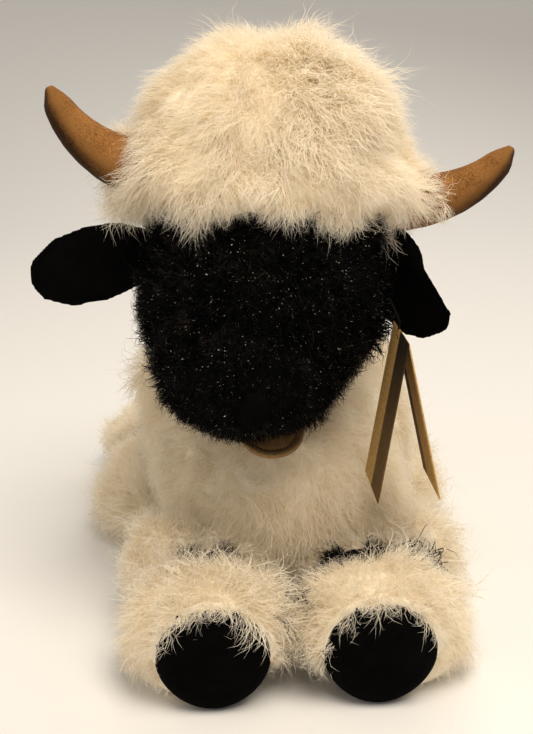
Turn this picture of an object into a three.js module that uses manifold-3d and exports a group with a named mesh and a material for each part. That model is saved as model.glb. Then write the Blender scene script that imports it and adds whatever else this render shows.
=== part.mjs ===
// Plush sheep toy of a black-faced mountain breed, lying on its belly with the forelegs stretched
// out in front. Millimetres, +Z up, the floor at Z = 0, the face and the soles towards -Y.
// Every sewn piece is a solid out to the tips of its pile: a low core carries the locks.
import * as THREE from 'three';
import { mergeVertices } from 'three/addons/utils/BufferGeometryUtils.js';
import Module from 'manifold-3d';

const wasm = await Module();
wasm.setup();

// Joint between two pieces, the middle of the belly, which is the part's origin, the smallest
// dent that stays, and the slump of the fleece to the toy's left
const GAP = 0.32;
const BELLY_Y = 20;
const SMOOTH = 0.07;
const SLUMP = 3;

// Head: its centre, its tilt to the toy's left, the egg of the skull and the muzzle
const HEAD_AT = [-9, -52, 190];
const HEAD_ROLL = 8;
const SKULL = { at: [0, 8, -12], r: [60.5, 54, 71], detail: 4 };
const MUZZLE = { at: [-3, -15, -50], r: [46, 41, 35], detail: 3 };
const NOSE = { at: [-1, -54, -56], r: [10.5, 4, 12], detail: 1 };
const EYE = { x: 31, y: -32, z: 4, r: 5.5 };
const CURL = { long: 12.5, high: 1.5 };

// Mop of fleece on the head, its core cut off below by a plane that falls towards the nape, with
// a fringe of longer locks along that edge; behind the ears the fleece runs down to the neck
const MOP = { at: [-4, 20, 44], r: [71, 66, 67], detail: 2 };
const MOP_BRIM = { at: [0, 19, 27], r: [83, 73, 56], detail: 2 };
const NAPE = { at: [0, 36, -12], r: [57, 44, 62], detail: 2, front: 26, clear: 8 };
const MOP_EDGE = { z: 23, fall: 10, tilt: -5 };
const FRINGE = { count: 17, above: 8, wild: 0.6 };

// Horns and ears, in the head's frame
const HORN = {
  root: [52, 12, 32],
  bend: [93, 8, 35],
  tip: [108, 6, 66],
  rootRadius: 14.5,
  tipRadius: 4.8,
  sides: 12,
  steps: 8,
};
const EAR = { wide: 41, thick: 7, root: 0.86, swell: 0.1, around: 12, along: 6 };
const EARS = {
  ear_left: { root: [55, 4, 24], long: 62, tilt: -63, turn: 38 },
  ear_right: { root: [-47, 8, 0], long: 66, tilt: 201, turn: 0 },
};

// Trunk: barrel, chest and neck
const BARREL = { at: [SLUMP, 45, 76], r: [86, 105, 84], detail: 3 };
const CHEST = { at: [SLUMP, -25, 60], r: [75, 50, 60], detail: 2 };
const NECK = { at: [-4, 4, 150], r: [54, 48, 48], detail: 2 };
const TAIL = { at: [0, 156, 64], r: [21, 24, 37], detail: 1 };

// Feet: velour drums, the rim of the sole rounded in steps of distance from the middle of the
// sole and depth behind it
const FOOT_SIDES = 18;
const FOOT_RIM = [[1, 9], [0.965, 5], [0.85, 1.8], [0.6, 0.5]];

// Forelegs, for the toy's left side; the right side is mirrored. A piece with a slice is the part
// of its egg between two planes across the leg.
const LEG_X = 38;
const SOLE_Y = -138;
const FOOT = { r: 26, long: 30, z: 25.7 };
const FORE_CUFF = { at: [42, -100, 25], r: [49, 36, 39], detail: 2, slice: [-133, -92] };
const KNEE = { at: [41, -82, 27], r: [38, 32, 30], detail: 2, slice: [-92, -66] };
const FORE_UPPER = { at: [43, -46, 32], r: [51, 36, 44], detail: 2 };

// Hind legs, folded at the flanks, the soles to the rear
const HAUNCH = { at: [66, 70, 17], r: [45, 52, 48], detail: 2 };
const HIND_TURN = 10;
const HIND_START = [66, 102, 24];
const HOCK = { along: 16, r: [28, 26, 26], detail: 2, slice: [4, 26] };
const HIND_CUFF = { along: 34, r: [35, 31, 32], detail: 2, slice: [26, 66] };
const HIND_FOOT = { along: 62, r: 22, long: 26, z: 21.7 };

// Badge under the chin and the folded card that hangs below one ear
const BADGE = { at: [-7, -60.5, 107], r: 16, thick: 2.4, lean: 120, sides: 24 };
const CARD = { fold: [50.5, -85, 163.5], width: 38, long: 77, thick: 0.6, left: 8.5, right: 13 };
const FASTENER = { radius: 0.6, sides: 6, behind: 6, over: 4, bar: 8, top: [45.5, -78, 178] };

// Pile: how far apart the locks stand, how wide and thick they are, how high they rise over the
// core, how far they lie over, which way, and how far the core stays inside the tips at the low
// and the high side of each axis
const TRUNK_PILE = {
  apart: 35, wide: 34, thick: 16, rise: 9, reach: 28, lie: [0, 0.3, -1],
  inset: [[9, 9], [9, 9], [0, 9]],
};
const MOP_PILE = {
  apart: 31, wide: 29, thick: 14, rise: 9, reach: 24, lie: [0, 0.05, -1],
  inset: [[8, 8], [8, 8], [8, 8]],
};
const NECK_PILE = { ...TRUNK_PILE, apart: 30, wide: 30, inset: [[8, 8], [8, 8], [0, 8]] };
const UPPER_PILE = {
  apart: 29, wide: 28, thick: 14, rise: 8, reach: 22, lie: [0, -0.5, -0.8],
  inset: [[0, 8], [0, 0], [0, 8]],
};
const HAUNCH_PILE = { ...UPPER_PILE, lie: [0, 0.6, -0.7] };
const CUFF_PILE = {
  apart: 23, wide: 22, thick: 11, rise: 6, reach: 16, lie: [0, -0.9, -0.3],
  inset: [[0, 6], [0, 0], [0, 6]],
};
const HIND_PILE = { ...CUFF_PILE, apart: 26, lie: [0, 0.9, -0.4], inset: [[6, 6], [0, 0], [0, 6]] };
const BAND_PILE = {
  apart: 29, wide: 15, thick: 8, rise: 5, reach: 10, lie: [0, 0, -1],
  inset: [[0, 4], [0, 0], [0, 4]],
};
const TAIL_PILE = {
  apart: 26, wide: 24, thick: 12, rise: 6, reach: 19, lie: [0, 0, -1],
  inset: [[5, 5], [0, 5], [5, 5]],
};

// A lock's shape in shares of its pile's measures: how deep its root is sunk and how far behind,
// how its line bends, how wide it is at the root and how much wider towards the tip
const LOCK = { sides: 4, steps: 2, sunk: 0.4, behind: 0.25, root: 0.7, widen: 0.5, late: 0.4 };
const LOCK_BEND = { rise: 1.1, reach: 0.2, tipRise: 0.8 };
const WILD = { across: 0.7, along: 0.5, size: 0.3, turn: 0.25 };

// Roots stay this far from neighbours, seams, soles, the slit between the legs and the floor
const CLEAR = { neighbour: 2, seam: 3, sole: 1, slit: 9, floor: 7, under: 14 };

const FLEECE = { color: 0xefe3c6, roughness: 0.95, metalness: 0 };
const BLACK_PILE = { color: 0x0b0a0a, roughness: 0.9, metalness: 0 };
const BLACK_VELOUR = { color: 0x080808, roughness: 0.85, metalness: 0 };
const HORN_SUEDE = { color: 0xb07c42, roughness: 0.9, metalness: 0 };
const EYE_GLOSS = { color: 0x050505, roughness: 0.15, metalness: 0 };
const BADGE_LEATHER = { color: 0x6f5024, roughness: 0.6, metalness: 0 };
const KRAFT = { color: 0xaf8c58, roughness: 0.85, metalness: 0 };
const CLEAR_BLACK = { color: 0x1a1a1a, roughness: 0.4, metalness: 0 };

const radians = THREE.MathUtils.degToRad;
const level = new THREE.Matrix4();
const headFrame = new THREE.Matrix4().makeTranslation(...HEAD_AT);
headFrame.multiply(new THREE.Matrix4().makeRotationY(radians(HEAD_ROLL)));

// The same draws on every run
let draw = 20;
function random() {
  draw = (draw * 1664525 + 1013904223) % 4294967296;
  return draw / 4294967296;
}

// A closed geometry as a solid that can be joined and cut
function solid(geometry) {
  const bare = geometry.clone();
  bare.deleteAttribute('normal');
  bare.deleteAttribute('uv');
  const merged = mergeVertices(bare, 1e-4);
  const corners = Array.from(merged.index.array);
  const kept = [];
  for (let i = 0; i < corners.length; i += 3) {
    const [a, b, c] = corners.slice(i, i + 3);
    if (a !== b && b !== c && c !== a) kept.push(a, b, c);
  }
  return new wasm.Manifold(new wasm.Mesh({
    numProp: 3,
    vertProperties: new Float32Array(merged.attributes.position.array),
    triVerts: new Uint32Array(kept),
  }));
}

function box(size, at, frame = level) {
  const geometry = new THREE.BoxGeometry(...size);
  geometry.translate(...at);
  geometry.applyMatrix4(frame);
  return solid(geometry);
}

function join(pieces) {
  return wasm.Manifold.union(pieces);
}

// Of all the closed bodies in a solid only the largest stays
function largest(piece) {
  const bodies = piece.decompose();
  bodies.sort((a, b) => b.volume() - a.volume());
  return bodies[0];
}

const belowFloor = box([600, 600, 100], [0, 0, -50]);

// An egg: half-sizes in a frame of its own, on the toy's left side or mirrored to the right,
// its sides moved in by an inset
const FULL = [[0, 0], [0, 0], [0, 0]];
function egg(form, frame = level, side = 1, inset = FULL) {
  const centre = form.at.map((v, k) => v + (inset[k][0] - inset[k][1]) / 2);
  const radii = form.r.map((v, k) => v - (inset[k][0] + inset[k][1]) / 2);
  centre[0] *= side;
  return {
    centre: new THREE.Vector3(...centre),
    radii: new THREE.Vector3(...radii),
    detail: form.detail,
    slice: form.slice,
    frame,
    back: frame.clone().invert(),
  };
}

function eggSolid(shape, grow = 0) {
  const geometry = new THREE.IcosahedronGeometry(1, shape.detail);
  const { x, y, z } = shape.radii;
  geometry.scale(x + grow, y + grow, z + grow);
  geometry.translate(...shape.centre.toArray());
  geometry.applyMatrix4(shape.frame);
  if (!shape.slice) return solid(geometry);
  const [start, end] = shape.slice;
  const long = end - start + 2 * grow;
  return solid(geometry).intersect(box([400, long, 400], [0, (start + end) / 2, 0], shape.frame));
}

function inSlice(shape, point, margin) {
  if (!shape.slice) return true;
  const along = point.clone().applyMatrix4(shape.back).y;
  return along > shape.slice[0] - margin && along < shape.slice[1] + margin;
}

function holds(shape, point, margin) {
  const local = point.clone().applyMatrix4(shape.back).sub(shape.centre);
  const { x, y, z } = shape.radii;
  const inside = (local.x / (x + margin)) ** 2 + (local.y / (y + margin)) ** 2
    + (local.z / (z + margin)) ** 2 < 1;
  return inside && inSlice(shape, point, margin);
}

// A lock of pile: a flat tapered leaf with a sunk root, that rises and then lies over
function lock(spec, grow = 0) {
  const { root, up, lie, pile, size } = spec;
  const across = new THREE.Vector3().crossVectors(up, lie).normalize();
  const reach = pile.reach * size;
  const at = (high, far) => root.clone().addScaledVector(up, high).addScaledVector(lie, far);
  const line = new THREE.QuadraticBezierCurve3(
    at(-pile.thick * LOCK.sunk, -reach * LOCK.behind),
    at(pile.rise * LOCK_BEND.rise, reach * LOCK_BEND.reach),
    at(pile.rise * LOCK_BEND.tipRise, reach + grow),
  );
  const geometry = new THREE.ConeGeometry(1, 1, LOCK.sides, LOCK.steps);
  const place = geometry.attributes.position;
  for (let i = 0; i < place.count; i += 1) {
    const step = place.getY(i) + 0.5;
    const tip = step > 0.999;
    const t = step + LOCK.late * step * (1 - step);
    const ray = new THREE.Vector2(place.getX(i), place.getZ(i));
    if (ray.length() > 1e-6) ray.normalize();
    const along = line.getTangent(t);
    const third = new THREE.Vector3().crossVectors(across, along).normalize();
    const share = tip ? 0 : (LOCK.root + LOCK.widen * t) * size;
    const swell = tip ? 0 : grow * Math.SQRT2;
    const spot = line.getPoint(t);
    spot.addScaledVector(across, ray.x * ((pile.wide / 2) * share + swell));
    spot.addScaledVector(third, ray.y * ((pile.thick / 2) * share + swell));
    place.setXYZ(i, spot.x, spot.y, spot.z);
  }
  return solid(geometry);
}

// One root on a core along a ray from its middle, with a size and a lie of its own
function rootAt(core, ray, pile, wild = 1) {
  const root = ray.clone().multiply(core.radii).add(core.centre).applyMatrix4(core.frame);
  const up = ray.clone().divide(core.radii).normalize().transformDirection(core.frame);
  const lie = new THREE.Vector3(...pile.lie);
  lie.x += (random() - 0.5) * WILD.across * wild;
  lie.y += (random() - 0.5) * WILD.along * wild;
  lie.addScaledVector(up, -lie.dot(up));
  if (lie.length() < 0.15) lie.set(0.2, 1, 0).addScaledVector(up, -up.y);
  const size = 1 + (random() - 0.5) * WILD.size;
  return { root, up, lie: lie.normalize(), pile, size };
}

// Roots spread evenly over the bare part of some cores
function spread(cores, pile, blockers, allowed = () => true) {
  const specs = [];
  for (const core of cores) {
    const mean = (core.radii.x * core.radii.y * core.radii.z) ** (1 / 3);
    const count = Math.round((4 * Math.PI * mean ** 2) / pile.apart ** 2);
    for (let i = 0; i < count; i += 1) {
      const z = 1 - (2 * i + 1) / count;
      const turn = i * Math.PI * (3 - Math.sqrt(5)) + (random() - 0.5) * WILD.turn;
      const flat = Math.sqrt(1 - z * z);
      const ray = new THREE.Vector3(flat * Math.cos(turn), flat * Math.sin(turn), z);
      const spec = rootAt(core, ray, pile);
      const { root, up } = spec;
      const buried = cores.some((other) => other !== core && holds(other, root, 0))
        || blockers.some((other) => holds(other, root, CLEAR.neighbour));
      const low = root.z < CLEAR.floor || (root.z < CLEAR.under && up.z < -0.6);
      const free = !buried && !low && inSlice(core, root, -CLEAR.seam);
      if (free && allowed(root)) specs.push(spec);
    }
  }
  return specs;
}

// A round bar along a bent line, its radius running from one end to the other
function bentBar(points, radius, sides, steps, grow = 0, frame = level) {
  const line = new THREE.QuadraticBezierCurve3(...points.map((p) => new THREE.Vector3(...p)));
  const geometry = new THREE.CylinderGeometry(1, 1, 1, sides, steps);
  const place = geometry.attributes.position;
  for (let i = 0; i < place.count; i += 1) {
    const t = place.getY(i) + 0.5;
    const along = line.getTangent(t).normalize();
    const across = new THREE.Vector3().crossVectors(new THREE.Vector3(0.3, 1, 0.2), along).normalize();
    const third = new THREE.Vector3().crossVectors(across, along).normalize();
    const r = radius(t) + grow;
    const spot = line.getPoint(t);
    spot.addScaledVector(along, (t < 0.001 ? -grow : 0) + (t > 0.999 ? grow : 0));
    spot.addScaledVector(across, place.getX(i) * r).addScaledVector(third, place.getZ(i) * r);
    place.setXYZ(i, spot.x, spot.y, spot.z);
  }
  geometry.applyMatrix4(frame);
  return solid(geometry);
}

function rod(from, to, radius, sides) {
  const a = new THREE.Vector3(...from);
  const b = new THREE.Vector3(...to);
  const geometry = new THREE.CylinderGeometry(radius, radius, a.distanceTo(b), sides);
  const run = b.clone().sub(a).normalize();
  geometry.applyQuaternion(new THREE.Quaternion().setFromUnitVectors(new THREE.Vector3(0, 1, 0), run));
  geometry.translate(...a.add(b).multiplyScalar(0.5).toArray());
  return solid(geometry);
}

const parts = new THREE.Group();

// The pieces in their order of rank: where two of them cross, the earlier one keeps its shape.
// The locks of a piece also give way to the core of every other piece.
const ranked = [];

function put(name, look, core, specs = [], bounds = []) {
  ranked.push({ name, look, core, specs, bounds });
}

function putPiled(name, look, cores, specs, bounds) {
  put(name, look, (grow) => join(cores.map((core) => eggSolid(core, grow))), specs, bounds);
}

function buildParts() {
  for (const piece of ranked) {
    piece.wideCore = piece.core(GAP);
    piece.wideLocks = piece.specs.map((spec) => lock(spec, GAP));
  }
  ranked.forEach((piece, rank) => {
    const before = ranked.slice(0, rank);
    const others = ranked.filter((other) => other !== piece);
    let body = piece.core(0).subtract(join([belowFloor, ...before.map((other) => other.wideCore)]));
    if (piece.specs.length) {
      const nearer = [...others.map((other) => other.wideCore), ...before.flatMap((o) => o.wideLocks)];
      const locks = join(piece.specs.map((spec) => lock(spec)));
      body = join([body, locks.subtract(join([belowFloor, ...nearer]))]);
    }
    if (piece.bounds.length) body = body.subtract(join(piece.bounds));
    addMesh(piece.name, largest(body), piece.look);
  });
}

function addMesh(name, piece, look) {
  const mesh = piece.simplify(SMOOTH).getMesh();
  const geometry = new THREE.BufferGeometry();
  const corners = new Float32Array((mesh.vertProperties.length / mesh.numProp) * 3);
  for (let i = 0; i < corners.length / 3; i += 1) {
    for (let k = 0; k < 3; k += 1) corners[3 * i + k] = mesh.vertProperties[mesh.numProp * i + k];
  }
  geometry.setAttribute('position', new THREE.BufferAttribute(corners, 3));
  geometry.setIndex(new THREE.BufferAttribute(new Uint32Array(mesh.triVerts), 1));
  geometry.computeVertexNormals();
  const part = new THREE.Mesh(geometry, new THREE.MeshStandardMaterial(look));
  part.name = name;
  parts.add(part);
}

// Face: skull and muzzle, their curly pile as low rounded lumps in the surface
function lump(point) {
  const step = (2 * Math.PI) / CURL.long;
  const { x, y, z } = point;
  const wave = Math.sin(x * step + 1.3 * Math.sin(z * step * 0.5))
    + Math.sin(y * step * 0.9 + 1.1 * Math.sin(x * step * 0.45))
    + Math.sin(z * step + 1.2 * Math.sin(y * step * 0.4));
  return (wave / 3) * CURL.high;
}

function curlyEgg(shape, grow) {
  const geometry = new THREE.IcosahedronGeometry(1, shape.detail);
  const place = geometry.attributes.position;
  const spot = new THREE.Vector3();
  for (let i = 0; i < place.count; i += 1) {
    spot.fromBufferAttribute(place, i);
    const out = spot.clone().divide(shape.radii).normalize();
    spot.multiply(shape.radii).add(shape.centre);
    spot.addScaledVector(out, lump(spot) + grow);
    place.setXYZ(i, spot.x, spot.y, spot.z);
  }
  geometry.applyMatrix4(shape.frame);
  return solid(geometry);
}

const skullEgg = egg(SKULL, headFrame);
const muzzleEgg = egg(MUZZLE, headFrame);
const skull = (grow = 0) => join([curlyEgg(skullEgg, grow), curlyEgg(muzzleEgg, grow)]);

function eye(side, grow = 0) {
  const form = { at: [EYE.x, EYE.y, EYE.z], r: [EYE.r, EYE.r, EYE.r], detail: 1 };
  return eggSolid(egg(form, headFrame, side), grow);
}

const nose = (grow = 0) => eggSolid(egg(NOSE, headFrame), grow);

function horn(side, grow = 0) {
  const points = [HORN.root, HORN.bend, HORN.tip].map(([x, y, z]) => [side * x, y, z]);
  const radius = (t) => {
    const cone = HORN.rootRadius + (HORN.tipRadius - HORN.rootRadius) * t ** 1.15;
    const round = t > 0.88 ? Math.sqrt(Math.max(0.1, 1 - ((t - 0.88) / 0.12) ** 2)) : 1;
    return cone * round;
  };
  return bentBar(points, radius, HORN.sides, HORN.steps, grow, headFrame);
}

// Ears: flat stuffed leaves of velour, broad and blunt at the end
function ear(form, grow = 0) {
  const geometry = new THREE.SphereGeometry(1, EAR.around, EAR.along);
  const place = geometry.attributes.position;
  for (let i = 0; i < place.count; i += 1) {
    const x = place.getY(i);
    const y = place.getX(i);
    const z = place.getZ(i);
    const broad = EAR.root + EAR.swell * (x + 1);
    place.setXYZ(i, (x + 1) * (form.long / 2) + x * grow,
      z * (EAR.thick / 2 + grow), y * ((EAR.wide / 2) * broad + grow));
  }
  geometry.rotateX(radians(form.turn));
  geometry.rotateY(-radians(form.tilt));
  geometry.translate(...form.root);
  geometry.applyMatrix4(headFrame);
  return solid(geometry);
}

// Mop: the core ends above the brow, and the locks of its edge hang down over it
const mopCores = [
  egg(MOP, headFrame, 1, MOP_PILE.inset),
  egg(MOP_BRIM, headFrame, 1, MOP_PILE.inset),
];
const napeCore = egg(NAPE, headFrame, 1, MOP_PILE.inset);
const mopEdge = headFrame.clone().multiply(new THREE.Matrix4().makeTranslation(0, 0, MOP_EDGE.z));
mopEdge.multiply(new THREE.Matrix4().makeRotationX(radians(-MOP_EDGE.fall)));
mopEdge.multiply(new THREE.Matrix4().makeRotationY(radians(MOP_EDGE.tilt)));
const fromMopEdge = mopEdge.clone().invert();
const overEdge = (root) => root.clone().applyMatrix4(fromMopEdge).z;

function fringe() {
  const specs = [];
  const brim = mopCores[1];
  for (let i = 0; i < FRINGE.count; i += 1) {
    const turn = (2 * Math.PI * (i + 0.3 * random())) / FRINGE.count;
    const ray = new THREE.Vector3();
    let low = -1;
    let high = 1;
    for (let step = 0; step < 20; step += 1) {
      const z = (low + high) / 2;
      const flat = Math.sqrt(1 - z * z);
      ray.set(flat * Math.cos(turn), flat * Math.sin(turn), z);
      const spot = ray.clone().multiply(brim.radii).add(brim.centre).applyMatrix4(brim.frame);
      if (overEdge(spot) < FRINGE.above) low = z;
      else high = z;
    }
    specs.push(rootAt(brim, ray, MOP_PILE, FRINGE.wild));
  }
  return specs;
}

function onNape(root) {
  const behind = root.clone().applyMatrix4(napeCore.back).y > NAPE.front + NAPE.clear;
  return behind && overEdge(root) < -NAPE.clear / 2;
}

const mopSpecs = [
  ...spread(mopCores, MOP_PILE, [], (root) => overEdge(root) > 2 * FRINGE.above),
  ...fringe(),
  ...spread([napeCore], MOP_PILE, [], onNape),
];

function mopCore(grow) {
  const below = box([400, 400, 200], [0, 0, -100 - grow], mopEdge);
  const before = box([400, 200, 400], [0, NAPE.front - 100 - grow, 0], headFrame);
  return join([
    join(mopCores.map((core) => eggSolid(core, grow))).subtract(below),
    eggSolid(napeCore, grow).subtract(before),
  ]);
}

// Feet: stuffed velour drums with a domed sole at the end of each leg
function drum(form, grow, frame) {
  const { r, long } = form;
  const profile = [
    [0, -long / 2 - grow],
    [r + grow, -long / 2 - grow],
    ...FOOT_RIM.map(([out, deep]) => [r * out + grow, long / 2 - deep + grow]),
    [0, long / 2 + grow],
  ].map(([x, y]) => new THREE.Vector2(x, y));
  const geometry = new THREE.LatheGeometry(profile, FOOT_SIDES);
  geometry.applyMatrix4(frame);
  return solid(geometry);
}

function foreFootFrame(side) {
  const frame = new THREE.Matrix4().makeTranslation(side * LEG_X, SOLE_Y + FOOT.long / 2, FOOT.z);
  return frame.multiply(new THREE.Matrix4().makeRotationX(Math.PI));
}

function hindFrame(side) {
  const [x, y, z] = HIND_START;
  const frame = new THREE.Matrix4().makeTranslation(side * x, y, z);
  return frame.multiply(new THREE.Matrix4().makeRotationZ(radians(-side * HIND_TURN)));
}

function hindFootFrame(side) {
  const out = HIND_FOOT.along - HIND_FOOT.long / 2;
  const shift = new THREE.Matrix4().makeTranslation(0, out, HIND_FOOT.z - HIND_START[2]);
  return hindFrame(side).multiply(shift);
}

const hindEgg = (form, side, inset) => {
  const placed = { ...form, at: [0, form.along, 0] };
  return egg(placed, hindFrame(side), 1, inset);
};

function badge(grow = 0) {
  const r = BADGE.r + grow;
  const geometry = new THREE.CylinderGeometry(r, r, BADGE.thick + 2 * grow, BADGE.sides);
  geometry.rotateX(radians(BADGE.lean));
  geometry.translate(...BADGE.at);
  return solid(geometry);
}

// Folded card: two leaves that meet along the fold at the top, hung by a thread through the fold
function cardLeaf(angle, side, grow) {
  const [x, y, z] = CARD.fold;
  const frame = new THREE.Matrix4().makeTranslation(x, y, z);
  frame.multiply(new THREE.Matrix4().makeRotationY(radians(angle)));
  const size = [CARD.thick, CARD.width, CARD.long].map((v) => v + 2 * grow);
  const leaf = box(size, [0, 0, -CARD.long / 2], frame);
  return leaf.subtract(box([200, 200, 300], [x - side * (100 - GAP / 2 + grow), y, z - 100]));
}

function fastener(grow = 0) {
  const { radius, sides, behind, over, bar, top } = FASTENER;
  const [x, foldY, foldZ] = CARD.fold;
  const y = foldY + behind;
  const thread = radius + grow;
  const [inside, outside] = [foldZ - over, foldZ + over];
  return join([
    rod([x, y, inside], [x, y, outside], thread, sides),
    rod([x, y, outside - thread / 2], top, thread, sides),
    rod([x, y - bar / 2, inside], [x, y + bar / 2, inside], thread * 1.15, sides),
  ]);
}

const sides = { left: 1, right: -1 };
const perSide = (build) => Object.entries(sides).forEach(([name, side]) => build(name, side));

perSide((name, side) => put(`eye_${name}`, EYE_GLOSS, (grow) => eye(side, grow)));
put('nose', BLACK_VELOUR, nose);
put('badge', BADGE_LEATHER, badge);
perSide((name, side) => put(`horn_${name}`, HORN_SUEDE, (grow) => horn(side, grow)));
for (const [name, form] of Object.entries(EARS)) {
  put(name, BLACK_VELOUR, (grow) => ear(form, grow));
}
put('head', BLACK_PILE, skull);
perSide((name, side) => {
  put(`forefoot_${name}`, BLACK_VELOUR, (grow) => drum(FOOT, grow, foreFootFrame(side)));
  put(`hindfoot_${name}`, BLACK_VELOUR, (grow) => drum(HIND_FOOT, grow, hindFootFrame(side)));
});
put('tag_fastener', CLEAR_BLACK, fastener);
put('swing_tag_left', KRAFT, (grow) => cardLeaf(-CARD.right, 1, grow));
put('swing_tag_right', KRAFT, (grow) => cardLeaf(CARD.left, -1, grow));

put('head_fleece', FLEECE, mopCore, mopSpecs);
const headCores = [skullEgg, napeCore, ...mopCores];
const neckCore = egg(NECK, level, 1, NECK_PILE.inset);
const barrelCore = egg(BARREL, level, 1, TRUNK_PILE.inset);
const chestCore = egg(CHEST, level, 1, TRUNK_PILE.inset);
const trunkCores = [barrelCore, chestCore];
const tailCore = egg(TAIL, level, 1, TAIL_PILE.inset);
putPiled('neck', FLEECE, [neckCore], spread([neckCore], NECK_PILE, [...headCores, ...trunkCores]));

const limbs = [];
perSide((name, side) => {
  const limb = (label, look, core, pile, bounds, bare = () => true) => {
    limbs.push({ name: `${label}_${name}`, look, core, pile, bounds, bare });
  };
  const middle = [box([80, 400, 300], [-side * (40 - GAP / 2), -80, 0])];
  const offFoot = (frame, r) => (root) => {
    const { x, z } = root.clone().applyMatrix4(frame.clone().invert());
    return Math.hypot(x, z) > r + CLEAR.sole;
  };
  const offForefoot = offFoot(foreFootFrame(side), FOOT.r);
  const offHindfoot = offFoot(hindFootFrame(side), HIND_FOOT.r);
  limb('haunch', FLEECE, egg(HAUNCH, level, side, HAUNCH_PILE.inset), HAUNCH_PILE);
  const slumped = new THREE.Matrix4().makeTranslation(SLUMP, 0, 0);
  limb('foreleg', FLEECE, egg(FORE_UPPER, slumped, side, UPPER_PILE.inset), UPPER_PILE, middle);
  limb('knee', BLACK_PILE, egg(KNEE, level, side, BAND_PILE.inset), BAND_PILE, middle);
  limb('hock', BLACK_PILE, hindEgg(HOCK, side, BAND_PILE.inset), BAND_PILE);
  const foreCuff = egg(FORE_CUFF, slumped, side, CUFF_PILE.inset);
  limb('foreleg_cuff', FLEECE, foreCuff, CUFF_PILE, middle, offForefoot);
  const hindCuff = hindEgg(HIND_CUFF, side, HIND_PILE.inset);
  limb('hindleg_cuff', FLEECE, hindCuff, HIND_PILE, [], offHindfoot);
});
const limbCores = limbs.map((limb) => limb.core);
const trunkBlockers = [...headCores, neckCore, tailCore, ...limbCores];
putPiled('torso', FLEECE, trunkCores, spread(trunkCores, TRUNK_PILE, trunkBlockers));
putPiled('tail', FLEECE, [tailCore], spread([tailCore], TAIL_PILE, trunkCores));
for (const { name, look, core, pile, bounds, bare } of limbs) {
  const blockers = [...trunkCores, ...limbCores.filter((other) => other !== core)];
  const clear = (root) => Math.abs(root.x) > CLEAR.slit && bare(root);
  const specs = spread([core], pile, blockers, clear);
  putPiled(name, look, [core], specs, bounds);
}

buildParts();
parts.position.set(0, -BELLY_Y, 0);

export default parts;
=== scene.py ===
# Plush sheep toy of a black-faced mountain breed, lying on its belly: sewn covers stuffed with
# fibre, a shaggy white pile, a curly black face, velour ears and soles, suede horns.
# Blender 4.5, metres, +Z up, the floor at Z = 0, the face and the soles towards -Y.
import math
import random

import bmesh
import bpy
import numpy as np
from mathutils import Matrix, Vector, noise
from mathutils.bvhtree import BVHTree
from mathutils.kdtree import KDTree


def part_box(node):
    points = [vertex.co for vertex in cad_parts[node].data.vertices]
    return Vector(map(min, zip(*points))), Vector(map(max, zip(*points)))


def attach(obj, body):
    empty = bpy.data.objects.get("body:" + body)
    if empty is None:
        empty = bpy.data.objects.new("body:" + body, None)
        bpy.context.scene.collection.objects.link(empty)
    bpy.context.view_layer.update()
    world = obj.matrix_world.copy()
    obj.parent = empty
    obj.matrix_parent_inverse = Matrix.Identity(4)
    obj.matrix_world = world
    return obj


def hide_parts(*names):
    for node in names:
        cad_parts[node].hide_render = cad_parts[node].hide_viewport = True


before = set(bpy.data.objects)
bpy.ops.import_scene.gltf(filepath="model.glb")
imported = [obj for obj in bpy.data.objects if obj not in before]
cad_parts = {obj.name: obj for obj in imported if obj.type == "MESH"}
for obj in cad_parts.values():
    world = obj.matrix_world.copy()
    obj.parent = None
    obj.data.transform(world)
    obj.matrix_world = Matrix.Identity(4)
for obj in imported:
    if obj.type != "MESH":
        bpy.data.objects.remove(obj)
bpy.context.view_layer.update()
MM = 0.001  # one millimetre, in metres
scene = bpy.context.scene


# Camera at the photograph's viewing angle, a little above the toy's head and looking down
PHOTO_SIZE = (533, 734)
PHOTO_FOCUS = 1120
CAMERA_AT = Vector((-42.4, -589.6, 305.9)) * MM
LOOK_AT = Vector((-9.4, -80.0, 140.0)) * MM
camera = bpy.data.objects.new("camera", bpy.data.cameras.new("camera"))
scene.collection.objects.link(camera)
camera.data.lens = PHOTO_FOCUS / max(PHOTO_SIZE) * camera.data.sensor_width
camera.data.clip_start = 0.01
camera.location = CAMERA_AT
camera.rotation_euler = (LOOK_AT - CAMERA_AT).to_track_quat("-Z", "Y").to_euler()
scene.camera = camera


# Floor: a plain pale sheet that curves up behind
def material(name, colour, roughness, **constants):
    made = bpy.data.materials.new(name)
    made.use_nodes = True
    shader = made.node_tree.nodes["Principled BSDF"]
    shader.inputs["Base Color"].default_value = (*colour, 1)
    shader.inputs["Roughness"].default_value = roughness
    for socket, value in constants.items():
        shader.inputs[socket.replace("_", " ")].default_value = value
    return made


floor_mesh = bpy.data.meshes.new("floor")
floor_reach, floor_bend_at, floor_rise, floor_steps = 3.0, 0.9, 1.6, 24
rows = [(-floor_reach, 0.0), (floor_bend_at, 0.0)]
rows += [
    (floor_bend_at + floor_rise * math.sin(a), floor_rise * (1 - math.cos(a)))
    for a in (math.pi / 2 * (i + 1) / floor_steps for i in range(floor_steps))
]
floor_points = [(x, y, z) for y, z in rows for x in (-floor_reach, floor_reach)]
floor_faces = [(2 * i, 2 * i + 1, 2 * i + 3, 2 * i + 2) for i in range(len(rows) - 1)]
floor_mesh.from_pydata(floor_points, [], floor_faces)
floor_mesh.polygons.foreach_set("use_smooth", [True] * len(floor_faces))
floor_mesh.materials.append(material("pale_floor", (0.77, 0.75, 0.72), 0.8))
floor = bpy.data.objects.new("floor", floor_mesh)
scene.collection.objects.link(floor)


# Light: a broad warm key from above the front, a weak fill from the left, one behind the mop
LIT_AT = Vector((0, -0.02, 0.12))


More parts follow.
